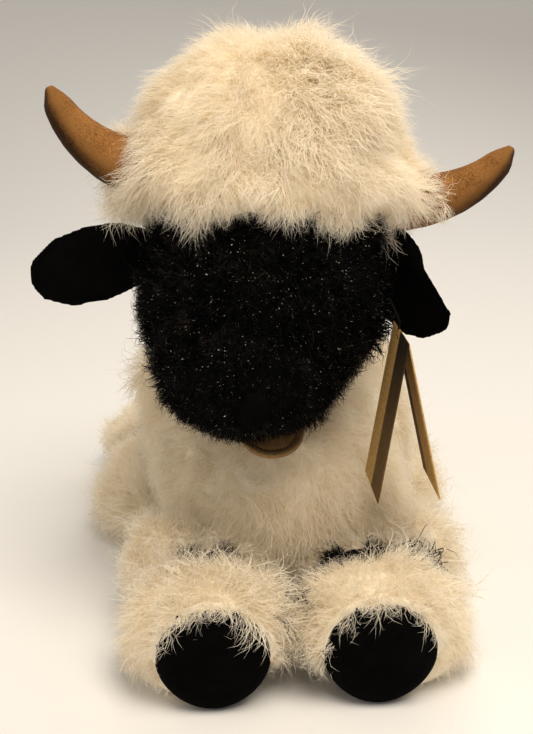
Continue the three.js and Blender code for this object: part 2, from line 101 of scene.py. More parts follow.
def soft_light(name, at, size, power, colour):
    lamp = bpy.data.lights.new(name, "AREA")
    lamp.size = size
    lamp.energy = power
    lamp.color = colour
    holder = bpy.data.objects.new(name, lamp)
    holder.location = at
    holder.rotation_euler = (LIT_AT - Vector(at)).to_track_quat("-Z", "Y").to_euler()
    scene.collection.objects.link(holder)


soft_light("key", (0.20, -0.56, 1.28), 0.8, 18.6, (1.0, 0.91, 0.79))
soft_light("side", (-1.10, -0.35, 0.80), 0.9, 2, (1.0, 0.92, 0.82))
soft_light("back", (0.30, 1.00, 1.10), 1.0, 6, (1.0, 0.95, 0.88))
world = bpy.data.worlds.new("soft_room")
world.use_nodes = True
world.node_tree.nodes["Background"].inputs["Color"].default_value = (1.0, 0.97, 0.92, 1)
world.node_tree.nodes["Background"].inputs["Strength"].default_value = 0.38
scene.world = world
scene.view_settings.view_transform = "Standard"


# Covers: the sewn, stuffed skins under the pile. Each is fused from the frame's own pieces, drawn
# in far enough to lose their locks, let out again by half and swollen into soft lumps. A face
# knows its nearest piece, and a point how far it is, in mm, from where the backing changes colour.
def node_group(name, kind, inputs, outputs):
    """An empty node group with named sockets, and the sockets of its two ends."""
    tree = bpy.data.node_groups.new(name, kind)
    for label, socket in inputs.items():
        tree.interface.new_socket(label, in_out="INPUT", socket_type="NodeSocket" + socket)
    for label, socket in outputs.items():
        tree.interface.new_socket(label, in_out="OUTPUT", socket_type="NodeSocket" + socket)
    given = tree.nodes.new("NodeGroupInput")
    result = tree.nodes.new("NodeGroupOutput")
    return tree, given.outputs, result.inputs


def add_node(tree, kind, inputs=(), **settings):
    """A node with its settings, and with its sockets linked or set, by name or by number."""
    made = tree.nodes.new(kind)
    for key, value in settings.items():
        setattr(made, key, value)
    for label, value in dict(inputs).items():
        if isinstance(label, int):
            socket = made.inputs[label]
        else:
            socket = next(s for s in made.inputs if s.name == label and s.enabled)
        if isinstance(value, bpy.types.NodeSocket):
            tree.links.new(value, socket)
        else:
            socket.default_value = value
    return made


def out(made, label=None):
    """A node's output of that name, or its first."""
    return next(s for s in made.outputs if s.enabled and label in (None, s.name))


def math_node(tree, operation, *values):
    return add_node(tree, "ShaderNodeMath", enumerate(values), operation=operation).outputs[0]


def set_inputs(modifier, values):
    """Sets the named inputs of a Geometry Nodes modifier through their identifiers."""
    for item in modifier.node_group.interface.items_tree:
        if item.name in values:
            modifier[item.identifier] = values[item.name]


def finished_mesh(target, keep_layers=False):
    """The mesh of an object with its modifiers applied. The object itself goes."""
    graph = bpy.context.evaluated_depsgraph_get()
    done = target.evaluated_get(graph)
    mesh = bpy.data.meshes.new_from_object(
        done, preserve_all_data_layers=keep_layers, depsgraph=graph
    )
    bpy.data.objects.remove(target)
    return mesh


def deep_nodes():
    """Nodes that keep of a solid only what lies deeper in it than Depth."""
    tree, given, result = node_group(
        "draw_in", "GeometryNodeTree",
        {"Solid": "Geometry", "Voxel": "Float", "Depth": "Float"}, {"Cover": "Geometry"},
    )
    fog = add_node(
        tree, "GeometryNodeMeshToVolume",
        {
            "Mesh": given["Solid"],
            "Density": 1,
            "Voxel Size": given["Voxel"],
            "Interior Band Width": math_node(tree, "MULTIPLY", given["Depth"], 2),
        },
        resolution_mode="VOXEL_SIZE",
    )
    surface = add_node(
        tree, "GeometryNodeVolumeToMesh",
        {"Volume": out(fog), "Voxel Size": given["Voxel"], "Threshold": 0.5},
        resolution_mode="VOXEL_SIZE",
    )
    tree.links.new(out(surface), result["Cover"])
    return tree


DRAW_IN = deep_nodes()


def spots(mesh):
    """The places of a mesh's points, as an array."""
    at = np.zeros(len(mesh.vertices) * 3)
    mesh.vertices.foreach_get("co", at)
    return at.reshape(-1, 3)


def normals(mesh):
    return np.array([v.normal for v in mesh.vertices])


def move_to(mesh, at):
    """Puts a mesh's points at new places."""
    mesh.vertices.foreach_set("co", np.asarray(at).ravel())
    mesh.update()


def lumps(at, reach):
    """Smooth noise between -1 and 1 over the places, with lumps of that reach."""
    return np.array([noise.noise(Vector(spot) / reach) for spot in at])


COVER_CLEAR = 1 * MM
LUMP_REACH = 15 * MM
RELAX_STEPS = 22
NO_RIM = 99.0


def cover(name, nodes, depth, let_out, looks, lump=1.4 * MM, voxel=3 * MM):
    """Fuses nodes into one stuffed skin, with one backing in looks for each node's faces."""
    points, faces = [], []
    for node in nodes:
        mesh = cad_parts[node].data
        start = len(points)
        points += [v.co.copy() for v in mesh.vertices]
        faces += [[start + i for i in p.vertices] for p in mesh.polygons]
    mesh = bpy.data.meshes.new(name)
    mesh.from_pydata(points, [], faces)
    rough = bpy.data.objects.new(name, mesh)
    scene.collection.objects.link(rough)
    fuse = rough.modifiers.new("fuse", "REMESH")
    fuse.mode = "VOXEL"
    fuse.voxel_size = voxel
    inner = rough.modifiers.new("draw_in", "NODES")
    inner.node_group = DRAW_IN
    set_inputs(inner, {"Voxel": voxel, "Depth": depth})
    relax = rough.modifiers.new("relax", "SMOOTH")
    relax.iterations = RELAX_STEPS
    fused = finished_mesh(rough)

    normal = normals(fused)
    at = spots(fused)
    at = at + normal * (let_out + lump * lumps(at, LUMP_REACH))[:, None]
    low = np.clip(1 - (at[:, 2] - COVER_CLEAR) / (2 * depth), 0, 1)
    under = low * np.clip(-normal[:, 2] * 2, 0, 1)
    at[:, 2] = at[:, 2] * (1 - under) + COVER_CLEAR * under
    move_to(fused, at)

    trees = []
    for node in nodes:
        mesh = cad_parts[node].data
        faces = [p.vertices for p in mesh.polygons]
        trees.append(BVHTree.FromPolygons([v.co for v in mesh.vertices], faces))
    region = []
    for face in fused.polygons:
        spot = face.center + face.normal * (depth - let_out)
        region.append(int(np.argmin([tree.find_nearest(spot)[3] for tree in trees])))
    fused.attributes.new("region", "INT", "FACE").data.foreach_set("value", region)
    fused.materials.clear()
    for look in dict.fromkeys(looks):
        fused.materials.append(look)
    which = [list(dict.fromkeys(looks)).index(looks[i]) for i in region]
    fused.polygons.foreach_set("material_index", which)
    fused.polygons.foreach_set("use_smooth", [True] * len(fused.polygons))
    made = bpy.data.objects.new(name, fused)
    scene.collection.objects.link(made)
    made["pieces"] = nodes

    shades = [set() for _ in fused.vertices]
    for face, look in zip(fused.polygons, which):
        for corner in face.vertices:
            shades[corner].add(look)
    border = KDTree(sum(len(shade) > 1 for shade in shades) + 1)
    border.insert((9, 9, 9), 0)
    for vertex, shade in zip(fused.vertices, shades):
        if len(shade) > 1:
            border.insert(vertex.co, vertex.index)
    border.balance()
    rim = [min(border.find(v.co)[2] / MM, NO_RIM) for v in fused.vertices]
    fused.attributes.new("rim", "FLOAT", "POINT").data.foreach_set("value", rim)
    return made


def unwrap(target):
    """Lays a mesh's own shape out flat as its OFBake map."""
    while target.data.uv_layers:
        target.data.uv_layers.remove(target.data.uv_layers[0])
    target.data.uv_layers.new(name="OFBake")
    bpy.ops.object.select_all(action="DESELECT")
    target.select_set(True)
    bpy.context.view_layer.objects.active = target
    bpy.ops.object.mode_set(mode="EDIT")
    bpy.ops.mesh.select_all(action="SELECT")
    bpy.ops.uv.smart_project(angle_limit=math.radians(66), island_margin=0.004)
    bpy.ops.object.mode_set(mode="OBJECT")


# Tufts: a few fibres that leave one root, rise, bend over and part at their tips. Along a tuft X
# is the way it lies and Z is up from the cover. The Strand map runs from root to tip.
ROOT_SUNK = 0.4 * MM
SHORTEST, LONGEST = 0.7, 1.15
LEAN_VARIES, FALL_VARIES, TWIST_VARIES = 0.16, 0.25, 0.6
BEND_LATE, TAPER_LATE = 1.3, 0.6


def tuft(name, seed, fibres, steps, long, wide, root, rise, fall, splay, curl, loose=0.07,
         together=0.0):
    """Fibres from rise to fall off the upright, fanned by splay, curled together or each alone."""
    draw = random.Random(seed)
    points, faces, map_at = [], [], []
    sway = together * draw.gauss(0, curl)
    for fibre in range(fibres):
        turn = draw.gauss(0, splay) - 0.4 * sway
        spread = root * math.sqrt(draw.random())
        around = draw.uniform(0, 2 * math.pi)
        place = Vector((spread * math.cos(around), spread * math.sin(around), -ROOT_SUNK))
        length = long * draw.uniform(SHORTEST, LONGEST)
        lean = rise + draw.gauss(0, LEAN_VARIES)
        over = fall + draw.gauss(0, FALL_VARIES)
        bend = sway + (1 - together) * draw.gauss(0, curl)
        twist = draw.gauss(0, TWIST_VARIES)
        if draw.random() < loose:
            length *= 1.35
            over -= 0.5
            turn += draw.gauss(0, 1.2)
            bend *= 1.4
        rings = []
        for step in range(steps + 1):
            t = step / steps
            angle = lean + (over - lean) * t ** BEND_LATE
            yaw = turn + bend * t
            side_on = math.sin(angle)
            way = Vector((side_on * math.cos(yaw), side_on * math.sin(yaw), math.cos(angle)))
            across = way.cross(Vector((0, 0, 1))).normalized()
            across = across * math.cos(twist) + way.cross(across) * math.sin(twist)
            half = across * (wide / 2 * (1 - t) ** TAPER_LATE)
            u = (fibre + 0.5) / fibres
            if step == steps:
                rings.append([len(points)])
                points.append(place.copy())
                map_at.append((u, 1.0))
            else:
                rings.append([len(points), len(points) + 1])
                points += [place - half, place + half]
                map_at += [(u - 0.3 / fibres, t), (u + 0.3 / fibres, t)]
            place = place + way * (length / steps)
        for low, high in zip(rings, rings[1:]):
            faces.append([low[0], low[1], *reversed(high)])
    mesh = bpy.data.meshes.new(name)
    mesh.from_pydata(points, [], faces)
    strand = mesh.uv_layers.new(name="Strand")
    corners = [map_at[loop.vertex_index] for loop in mesh.loops]
    strand.data.foreach_set("uv", [value for pair in corners for value in pair])
    mesh.polygons.foreach_set("use_smooth", [True] * len(faces))
    return bpy.data.objects.new(name, mesh)


def add_tufts(kinds, name, seeds, **shape):
    for count, seed in enumerate(seeds):
        kinds.objects.link(tuft(f"{name}_{count}", seed, **shape))


def tufts(name, variants, **shape):
    """A collection of tufts of one shape, each drawn with a seed of its own."""
    kinds = bpy.data.collections.new(name)
    add_tufts(kinds, name, range(variants), **shape)
    return kinds


# Pile: nodes that set tufts over a cover, each turned by the cover's comb, and lay each one's
# patch of the OFBake map at its root's place
def pile_nodes():
    tree, given, result = node_group(
        "pile", "GeometryNodeTree",
        {
            "Cover": "Geometry", "Tufts": "Collection", "Spacing": "Float", "Seed": "Int",
            "Wander": "Float", "Tilt": "Float", "Uneven": "Float", "Patch": "Float",
            "Floor": "Float", "Look": "Material",
        },
        {"Pile": "Geometry"},
    )

    def node(kind, inputs=(), **settings):
        return add_node(tree, kind, inputs, **settings)

    def drawn(low, high, offset, kind="FLOAT"):
        seed = math_node(tree, "ADD", given["Seed"], offset)
        ends = {"Min": low, "Max": high, "Seed": seed}
        return out(node("FunctionNodeRandomValue", ends, data_type=kind))

    def stored(geometry, label, value, kind, domain):
        inputs = {"Geometry": geometry, "Name": label, "Value": value}
        return out(node("GeometryNodeStoreNamedAttribute", inputs, data_type=kind, domain=domain))

    def named(label, kind):
        return out(node("GeometryNodeInputNamedAttribute", {"Name": label}, data_type=kind))

    def without(geometry, label):
        return out(node("GeometryNodeRemoveAttribute", {"Geometry": geometry, "Name": label}))

    spacing = given["Spacing"]
    area = math_node(tree, "MULTIPLY", spacing, spacing)
    roots = node(
        "GeometryNodeDistributePointsOnFaces",
        {
            "Mesh": given["Cover"],
            "Distance Min": spacing,
            "Density Max": math_node(tree, "DIVIDE", 1.6, area),
            "Density Factor": named("thick", "FLOAT"),
            "Seed": given["Seed"],
        },
        distribute_method="POISSON",
    )
    at_root = named("OFBake", "FLOAT_VECTOR")
    points = stored(out(roots, "Points"), "root_uv", at_root, "FLOAT_VECTOR", "POINT")
    points = stored(points, "tuft", drawn(0.0, 1.0, 1), "FLOAT", "POINT")
    aim = node(
        "FunctionNodeAxesToRotation",
        {"Primary Axis": out(roots, "Normal"), "Secondary Axis": named("lie", "FLOAT_VECTOR")},
        primary_axis="Z",
        secondary_axis="X",
    )
    tilt, wander = given["Tilt"], given["Wander"]
    most = out(node("ShaderNodeCombineXYZ", {"X": tilt, "Y": tilt, "Z": wander}))
    least = out(node("ShaderNodeVectorMath", {0: most, "Scale": -1.0}, operation="SCALE"))
    turn = node("FunctionNodeEulerToRotation", {"Euler": drawn(least, most, 2, "FLOAT_VECTOR")})
    turned = node(
        "FunctionNodeRotateRotation",
        {"Rotation": out(aim), "Rotate By": out(turn)},
        rotation_space="LOCAL",
    )
    uneven = given["Uneven"]
    smallest, largest = (math_node(tree, way, 1.0, uneven) for way in ("SUBTRACT", "ADD"))
    size = math_node(tree, "MULTIPLY", drawn(smallest, largest, 3), named("size", "FLOAT"))
    kinds = node(
        "GeometryNodeCollectionInfo",
        {"Collection": given["Tufts"], "Separate Children": True, "Reset Children": True},
    )
    placed = node(
        "GeometryNodeInstanceOnPoints",
        {
            "Points": points,
            "Instance": out(kinds),
            "Pick Instance": True,
            "Rotation": out(turned),
            "Scale": size,
        },
    )
    geometry = out(node("GeometryNodeRealizeInstances", {"Geometry": out(placed)}))
    spot = node("ShaderNodeSeparateXYZ", {0: out(node("GeometryNodeInputPosition"))})
    above = math_node(tree, "MAXIMUM", out(spot, "Z"), given["Floor"])
    rest = node("ShaderNodeCombineXYZ", {"X": out(spot, "X"), "Y": out(spot, "Y"), "Z": above})
    geometry = out(node("GeometryNodeSetPosition", {"Geometry": geometry, "Position": out(rest)}))
    strand = {0: named("Strand", "FLOAT_VECTOR"), 1: (0.5, 0.5, 0.0)}
    shift = out(node("ShaderNodeVectorMath", strand, operation="SUBTRACT"))
    small = {0: shift, "Scale": given["Patch"]}
    small = out(node("ShaderNodeVectorMath", small, operation="SCALE"))
    moved = {0: small, 1: named("root_uv", "FLOAT_VECTOR")}
    moved = out(node("ShaderNodeVectorMath", moved, operation="ADD"))
    for label in ("OFBake", "lie", "size", "thick", "region", "rim"):
        geometry = without(geometry, label)
    geometry = stored(geometry, "OFBake", moved, "FLOAT2", "CORNER")
    geometry = without(geometry, "root_uv")
    coloured = node("GeometryNodeSetMaterial", {"Geometry": geometry, "Material": given["Look"]})
    tree.links.new(out(coloured), result["Pile"])
    return tree


PILE = pile_nodes()


def unit(vectors):
    return vectors / np.maximum(np.linalg.norm(vectors, axis=1, keepdims=True), 1e-9)


def flat(way, normal):
    """What of a way runs along the cover."""
    return way - normal * np.sum(way * normal, axis=1, keepdims=True)


LOCK_TURN = 0.45
LOCK_TIP = 1.6
OWN_WAY, TO_TIP = 0.6, 0.9


def clump(at, normal, lie, size, apart, seed, vary):
    """Turns the comb so that neighbouring tufts close into locks, each with a size of its own."""
    draw = np.random.default_rng(seed + 100)
    order = draw.permutation(len(at))
    heart = []
    taken = KDTree(len(at))
    for i in order:
        taken.insert(at[i], i)
    taken.balance()
    free = np.ones(len(at), bool)
    for i in order:
        if free[i]:
            heart.append(i)
            near = [j for _, j, _ in taken.find_range(at[i], apart)]
            free[near] = False
    hearts = KDTree(len(heart))
    for k, i in enumerate(heart):
        hearts.insert(at[i], k)
    hearts.balance()
    own = np.array([hearts.find(spot)[1] for spot in at])
    turn = draw.normal(0, LOCK_TURN, len(heart))
    grow = draw.uniform(1 - vary, 1 + 0.7 * vary, len(heart))
    across = np.cross(normal, lie)
    bent = lie * np.cos(turn[own])[:, None] + across * np.sin(turn[own])[:, None]
    middle = at[heart][own] + bent * apart * LOCK_TIP
    aim = flat(middle - at, normal)
    return unit(OWN_WAY * bent + TO_TIP * aim / (apart * LOCK_TIP)), size * grow[own]


PATCH = 0.003
FIBRE_CLEAR = 0.3 * MM


def coat(name, skin, zone, comb, kinds, spacing, look, wander=0.5, tilt=0.2, uneven=0.25,
         locks=11.0, vary=0.2, seed=1):
    """Sets a pile of tufts over the faces of a cover that lie in a zone."""
    base = bpy.data.objects.new(name + "_base", skin.data.copy())
    scene.collection.objects.link(base)
    work = bmesh.new()
    work.from_mesh(base.data)
    region = work.faces.layers.int["region"]
    pieces = list(skin["pieces"])
    away = [f for f in work.faces if not zone(f.calc_center_median() / MM, pieces[f[region]])]
    bmesh.ops.delete(work, geom=away, context="FACES")
    work.to_mesh(base.data)
    work.free()
    unwrap(base)
    at = np.array([v.co for v in base.data.vertices]) / MM
    normal = normals(base.data)
    rim = np.zeros(len(at))
    base.data.attributes["rim"].data.foreach_get("value", rim)
    lie, size, thick = comb(at, normal, rim)
    lie, size = clump(at, normal, lie, size, locks, seed, vary)
    store = base.data.attributes
    store.new("lie", "FLOAT_VECTOR", "POINT").data.foreach_set("vector", lie.ravel())
    store.new("size", "FLOAT", "POINT").data.foreach_set("value", size)
    store.new("thick", "FLOAT", "POINT").data.foreach_set("value", thick)
    grow = base.modifiers.new("pile", "NODES")
    grow.node_group = PILE
    set_inputs(grow, {
        "Tufts": kinds, "Spacing": spacing, "Seed": seed, "Wander": wander, "Tilt": tilt,
        "Uneven": uneven, "Patch": PATCH, "Floor": FIBRE_CLEAR, "Look": look,
    })
    base.update_tag()
    made = bpy.data.objects.new(name, finished_mesh(base, keep_layers=True))
    scene.collection.objects.link(made)
    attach(made, "root")
    return made


# Fibres: pale or dark polyester pile, painted darker at the root as shade deep in the pile, each tuft
# a little off its neighbours.
# The pale fibre is so thin that light comes through it; the dark one has painted glints at a few tips
# and patches of painted sheen.
def fibre_nodes():
    """Root to tip along a fibre, painted darker at the root as shade deep in the pile, and a little
    lighter or darker from tuft to tuft.
    """
    tree, given, result = node_group(
        "fibre_shade", "ShaderNodeTree",
        {"Root": "Color", "Tip": "Color", "Spread": "Float"},
        {"Colour": "Color", "Fibre": "Float", "Along": "Float", "Tuft": "Float"},
    )
    strand = add_node(tree, "ShaderNodeUVMap", uv_map="Strand")
    split = add_node(tree, "ShaderNodeSeparateXYZ", {0: out(strand)})
    # Painted shade: the darker root colour runs up into the tip colour
    risen = add_node(tree, "ShaderNodeMapRange", {"Value": out(split, "Y"), "From Max": 0.7})
    shade = {"Factor": out(risen), "A": given["Root"], "B": given["Tip"]}
    shade = add_node(tree, "ShaderNodeMix", shade, data_type="RGBA")
    own = out(add_node(tree, "ShaderNodeAttribute", attribute_name="tuft"), "Fac")
    darkest = math_node(tree, "SUBTRACT", 1.0, given["Spread"])
    lightest = math_node(tree, "ADD", 1.0, given["Spread"])
    bright = {"Value": own, "To Min": darkest, "To Max": lightest}
    bright = out(add_node(tree, "ShaderNodeMapRange", bright))
    tint = {0: out(shade), "Scale": bright}
    tint = add_node(tree, "ShaderNodeVectorMath", tint, operation="SCALE")
    tree.links.new(out(tint), result["Colour"])
    tree.links.new(out(split, "X"), result["Fibre"])
    tree.links.new(out(split, "Y"), result["Along"])
    tree.links.new(own, result["Tuft"])
    return tree


FIBRE_SHADE = fibre_nodes()
# Painted sheen: the noise that lays out patches of lighter tips on the dark pile
SHEEN_PATCH_SCALE, SHEEN_PATCH_DETAIL = 75, 3
# Painted highlights on a few dark fibres: how rare, where along the fibre, how long
GLINT_SHARE, GLINT_AT, GLINT_HALF = 0.94, 0.62, 0.028


def painted_sheen_patches(tree, colour, along, sheen_colour):
    """Patches of painted sheen, where the tips are painted a lighter colour."""
    place = add_node(tree, "ShaderNodeTexCoord")
    sheen_noise = add_node(
        tree, "ShaderNodeTexNoise",
        {"Vector": out(place, "Object"), "Scale": SHEEN_PATCH_SCALE, "Detail": SHEEN_PATCH_DETAIL},
    )
    much = {"Value": out(sheen_noise, "Fac"), "From Min": 0.54, "From Max": 0.76}
    much = out(add_node(tree, "ShaderNodeMapRange", much))
    patch = {"Factor": math_node(tree, "MULTIPLY", much, along), "A": colour, "B": (*sheen_colour, 1)}
    return out(add_node(tree, "ShaderNodeMix", patch, data_type="RGBA"))


def painted_glints(tree, colour, shade, glint):
    """Painted highlights: a short bright stretch on a few fibres, drawn by fibre and tuft."""
    fibre = math_node(tree, "FLOOR", math_node(tree, "MULTIPLY", out(shade, "Fibre"), 8.0), 0.0)
    number = math_node(tree, "MULTIPLY", out(shade, "Tuft"), 977.0)
    dice = {"W": math_node(tree, "ADD", fibre, number)}
    dice = out(add_node(tree, "ShaderNodeTexWhiteNoise", dice, noise_dimensions="1D"), "Value")
    rare = math_node(tree, "GREATER_THAN", dice, GLINT_SHARE)
    spot = math_node(tree, "COMPARE", out(shade, "Along"), GLINT_AT, GLINT_HALF)
    mix = {"Factor": math_node(tree, "MULTIPLY", rare, spot), "A": colour, "B": (*glint, 1)}
    return out(add_node(tree, "ShaderNodeMix", mix, data_type="RGBA"))


def fibre_look(name, tip, root, roughness, spread, glint=None, sheen_colour=None, thin=0.0, **constants):
    made = material(name, tip, roughness, **constants)
    tree = made.node_tree
    shader = tree.nodes["Principled BSDF"]
    ends = {"Root": (*root, 1), "Tip": (*tip, 1), "Spread": spread}
    shade = add_node(tree, "ShaderNodeGroup", ends, node_tree=FIBRE_SHADE)
    colour = out(shade, "Colour")
    if sheen_colour:
        colour = painted_sheen_patches(tree, colour, out(shade, "Along"), sheen_colour)
    if glint:
        colour = painted_glints(tree, colour, shade, glint)
    tree.links.new(colour, shader.inputs["Base Color"])
    if thin:
        through = add_node(tree, "ShaderNodeBsdfTranslucent", {"Color": colour})
        both = {0: thin, 1: out(shader), 2: out(through)}
        both = add_node(tree, "ShaderNodeMixShader", both)
        tree.links.new(out(both), tree.nodes["Material Output"].inputs["Surface"])
    return made


def grain_nodes():
    """Fine mottling between two colours, which is also felt as bumps."""
    tree, given, result = node_group(
        "grain", "ShaderNodeTree",
        {
            "Low": "Color", "High": "Color", "From": "Float", "To": "Float", "Scale": "Float",
            "Detail": "Float", "Roughness": "Float", "Stretch": "Vector", "Bump": "Float",
            "Depth": "Float",
        },
        {"Colour": "Color", "Normal": "Vector"},
    )
    place = out(add_node(tree, "ShaderNodeTexCoord"), "Object")
    place = out(add_node(tree, "ShaderNodeMapping", {"Vector": place, "Scale": given["Stretch"]}))
    grain = {"Vector": place, **{key: given[key] for key in ("Scale", "Detail", "Roughness")}}
    grain = out(add_node(tree, "ShaderNodeTexNoise", grain), "Fac")
    much = {"Value": grain, "From Min": given["From"], "From Max": given["To"]}
    much = out(add_node(tree, "ShaderNodeMapRange", much))
    shade = {"Factor": much, "A": given["Low"], "B": given["High"]}
    shade = add_node(tree, "ShaderNodeMix", shade, data_type="RGBA")
    bump = {"Strength": given["Bump"], "Distance": given["Depth"], "Height": grain}
    bump = add_node(tree, "ShaderNodeBump", bump)
    tree.links.new(out(shade), result["Colour"])
    tree.links.new(out(bump), result["Normal"])
    return tree


GRAIN = grain_nodes()


def with_grain(made, **values):
    """Gives a material the grain, with values of its own."""
    tree = made.node_tree
    shader = tree.nodes["Principled BSDF"]
    grain = add_node(tree, "ShaderNodeGroup", values, node_tree=GRAIN)
    tree.links.new(out(grain, "Colour"), shader.inputs["Base Color"])
    tree.links.new(out(grain, "Normal"), shader.inputs["Normal"])


def skin_look(name, colour, scale):
    """The knitted backing that a pile grows from."""
    made = material(name, colour, 0.9, Specular_IOR_Level=0.1)
    darker = [0.88 * c for c in colour]
    with_grain(
        made, Low=(*darker, 1), High=(*colour, 1), From=0, To=1, Scale=scale, Detail=4,
        Roughness=0.5, Stretch=(1, 1, 1), Bump=0.4, Depth=0.4 * MM,
    )
    return made


WHITE_FIBRE = fibre_look(
    "fleece_fibre", (0.965, 0.90, 0.775), (0.95, 0.87, 0.72), 0.8, 0.025,
    thin=0.5, Specular_IOR_Level=0.2,
)
# The dark fibre, with painted glints and patches of painted sheen
BLACK_FIBRE = fibre_look(
    "black_fibre", (0.0014, 0.0013, 0.0012), (0.0006, 0.0006, 0.0006), 0.45, 0.5,
    glint=(0.80, 0.70, 0.55), sheen_colour=(0.020, 0.015, 0.011), Specular_IOR_Level=0.05,
)
WHITE_SKIN = skin_look("fleece_backing", (0.93, 0.84, 0.68), 900)
BLACK_SKIN = skin_look("black_backing", (0.0015, 0.0015, 0.0015), 900)


# Trunk: chest, barrel, neck and tail in one white cover, full at the right shoulder. Its fleece
# hangs down and a little to the rear, and lies flat where the badge presses it.
FLOOR_CLEAR, FLOOR_FADE = 4.0, 12


def near_to(at, place, reach):
    """1 at a place, falling off softly over a reach."""
    return np.exp(-(np.linalg.norm(at - place, axis=1) / reach) ** 2)


def above_floor(at):
    """0 at the floor, 1 from a little above it."""
    return np.clip((at[:, 2] - FLOOR_CLEAR) / FLOOR_FADE, 0, 1)


FULL_AT, FULL_REACH = (-69, 12, 114), 20
PRESSED_AT, PRESSED_REACH = (-7, -82, 98), 22


def trunk_comb(at, normal, rim):
    """Down, a little outwards and to the rear; longer at the shoulder, short by the badge."""
    lie = np.zeros_like(at)
    lie[:, 2] = -1
    lie += 0.2 * normal * (1, 1, 0)
    lie[:, 1] += 0.25
    low = above_floor(at)
    full = 1 + 0.3 * near_to(at, FULL_AT, FULL_REACH)
    pressed = 1 - 0.75 * near_to(at, PRESSED_AT, PRESSED_REACH)
    return unit(flat(lie, normal)), (0.55 + 0.45 * low) * full * pressed, 0.15 + 0.85 * low


SHOULDER, SHOULDER_REACH, SHOULDER_RISE = (-66, 14, 113), 19, 11 * MM
trunk = cover("trunk_cover", ["torso", "neck", "tail"], 11 * MM, 6 * MM, [WHITE_SKIN] * 3)
at = spots(trunk.data)
full = near_to(at / MM, SHOULDER, SHOULDER_REACH)
move_to(trunk.data, at + normals(trunk.data) * (SHOULDER_RISE * full)[:, None])
unwrap(trunk)
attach(trunk, "root")
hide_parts("torso", "neck", "tail")
TRUNK_TUFTS = tufts(
    "trunk_tuft", 14, fibres=12, steps=3, long=15.5 * MM, wide=0.32 * MM, root=2.4 * MM,
    rise=0.75, fall=1.8, splay=0.45, curl=2.0, loose=0.03, together=0.6,
)
add_tufts(
    TRUNK_TUFTS, "trunk_wisp", range(50, 53), fibres=5, steps=5, long=17 * MM, wide=0.34 * MM,
    root=3 * MM, rise=0.4, fall=1.7, splay=1.2, curl=4.2, loose=0.0,
)
BEHIND = 10
TRUNK_ZONES = {
    "trunk_pile_front_left": lambda at, piece: at.y < BEHIND and at.x >= 0,
    "trunk_pile_front_right": lambda at, piece: at.y < BEHIND and at.x < 0,
    "trunk_pile_rear_left": lambda at, piece: at.y >= BEHIND and at.x >= 0,
    "trunk_pile_rear_right": lambda at, piece: at.y >= BEHIND and at.x < 0,
}
for seed, (name, zone) in enumerate(TRUNK_ZONES.items()):
    coat(name, trunk, zone, trunk_comb, TRUNK_TUFTS, 2.4 * MM, WHITE_FIBRE, vary=0.35,
         seed=seed)


# Legs: stuffed tubes of white pile with a black band, forelegs to the front, hind legs folded back
LEG_TUFTS = tufts(
    "leg_tuft", 12, fibres=12, steps=3, long=14.5 * MM, wide=0.32 * MM, root=2.2 * MM,
    rise=0.55, fall=1.9, splay=0.6, curl=2.4, loose=0.03, together=0.5,
)
add_tufts(
    LEG_TUFTS, "leg_wisp", range(60, 64), fibres=5, steps=6, long=17 * MM, wide=0.36 * MM,
    root=3 * MM, rise=0.3, fall=1.8, splay=1.3, curl=4.6, loose=0.0,
)
BAND_TUFTS = tufts(
    "band_tuft", 8, fibres=10, steps=5, long=13 * MM, wide=0.75 * MM, root=1.8 * MM,
    rise=0.35, fall=2.4, splay=0.5, curl=2.8, together=0.6,
)


def foot_place(foot):
    """Middle, reach round its axis and both ends of a foot, in mm."""
    low_corner, high_corner = [np.array(corner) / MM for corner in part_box(foot)]
    middle = (low_corner + high_corner) / 2
    return middle, (high_corner - low_corner)[2] / 2, low_corner[1], high_corner[1]


FORE_SIDE, LEFT_SIDE, SIDE_FADE = 74, 68, 8
HAUNCH_FROM, HAUNCH_SIDE, HAUNCH_LOW = 40, 86, 26
HOCK_TOP, HOCK_FADE = 45, 12
BAND_MIDDLE, BAND_REACH = -108, 8


def leg_comb(along, foot):
    """Along the leg and a little down; round the foot away from it, but over its upper edge."""
    middle, _, front_end, rear_end = foot_place(foot)
    sole = front_end if along < 0 else rear_end

    def comb(at, normal, rim):
        lie = np.zeros_like(at)
        lie[:, 1] = along
        lie[:, 2] = -0.45
        lie += 0.25 * normal * (1, 0, 1)
        behind = np.abs(at[:, 1] - sole)
        near = np.clip(1.2 - behind / 24, 0, 0.9)[:, None]
        away = unit((at - middle) * (1, 0, 1))
        top = np.clip(away[:, 2:] * 1.8 - 0.3, 0, 1)
        over_top = np.array((0, 0.6 * along, -0.8))
        away = away * (1 - top) * 0.8 + over_top * (0.3 + 0.7 * top)
        lie = unit(lie) * (1 - near) + away * near
        size = np.clip(0.66 + behind / 60, 0, 1)
        size += 0.1 * (top * near)[:, 0]
        fore = at[:, 1] < 0
        size *= 1 - 0.42 * fore * np.clip((-at[:, 0] - FORE_SIDE) / SIDE_FADE, 0, 1)
        haunch = (at[:, 1] > HAUNCH_FROM) * np.clip((-at[:, 0] - HAUNCH_SIDE) / SIDE_FADE, 0, 1)
        size *= 1 - 0.5 * haunch * np.clip((at[:, 2] - HAUNCH_LOW) / 10, 0, 1)
        size *= 1 + 0.12 * fore * np.clip((at[:, 0] - LEFT_SIDE) / SIDE_FADE, 0, 1)
        size *= 1 + (along > 0) * (0.55 * np.clip((HOCK_TOP - at[:, 2]) / HOCK_FADE, 0, 1) - 0.3)
        size *= 1 - 0.15 * np.exp(-((at[:, 1] - BAND_MIDDLE) / BAND_REACH) ** 2) * (along < 0)
        thick = 0.35 + 0.65 * above_floor(at)
        return unit(flat(lie, normal)), thick * size, thick
    return comb


CUFF_OVER = 3 * MM
SUNK_BACK, SUNK_FROM = 6 * MM, 0.6 * MM


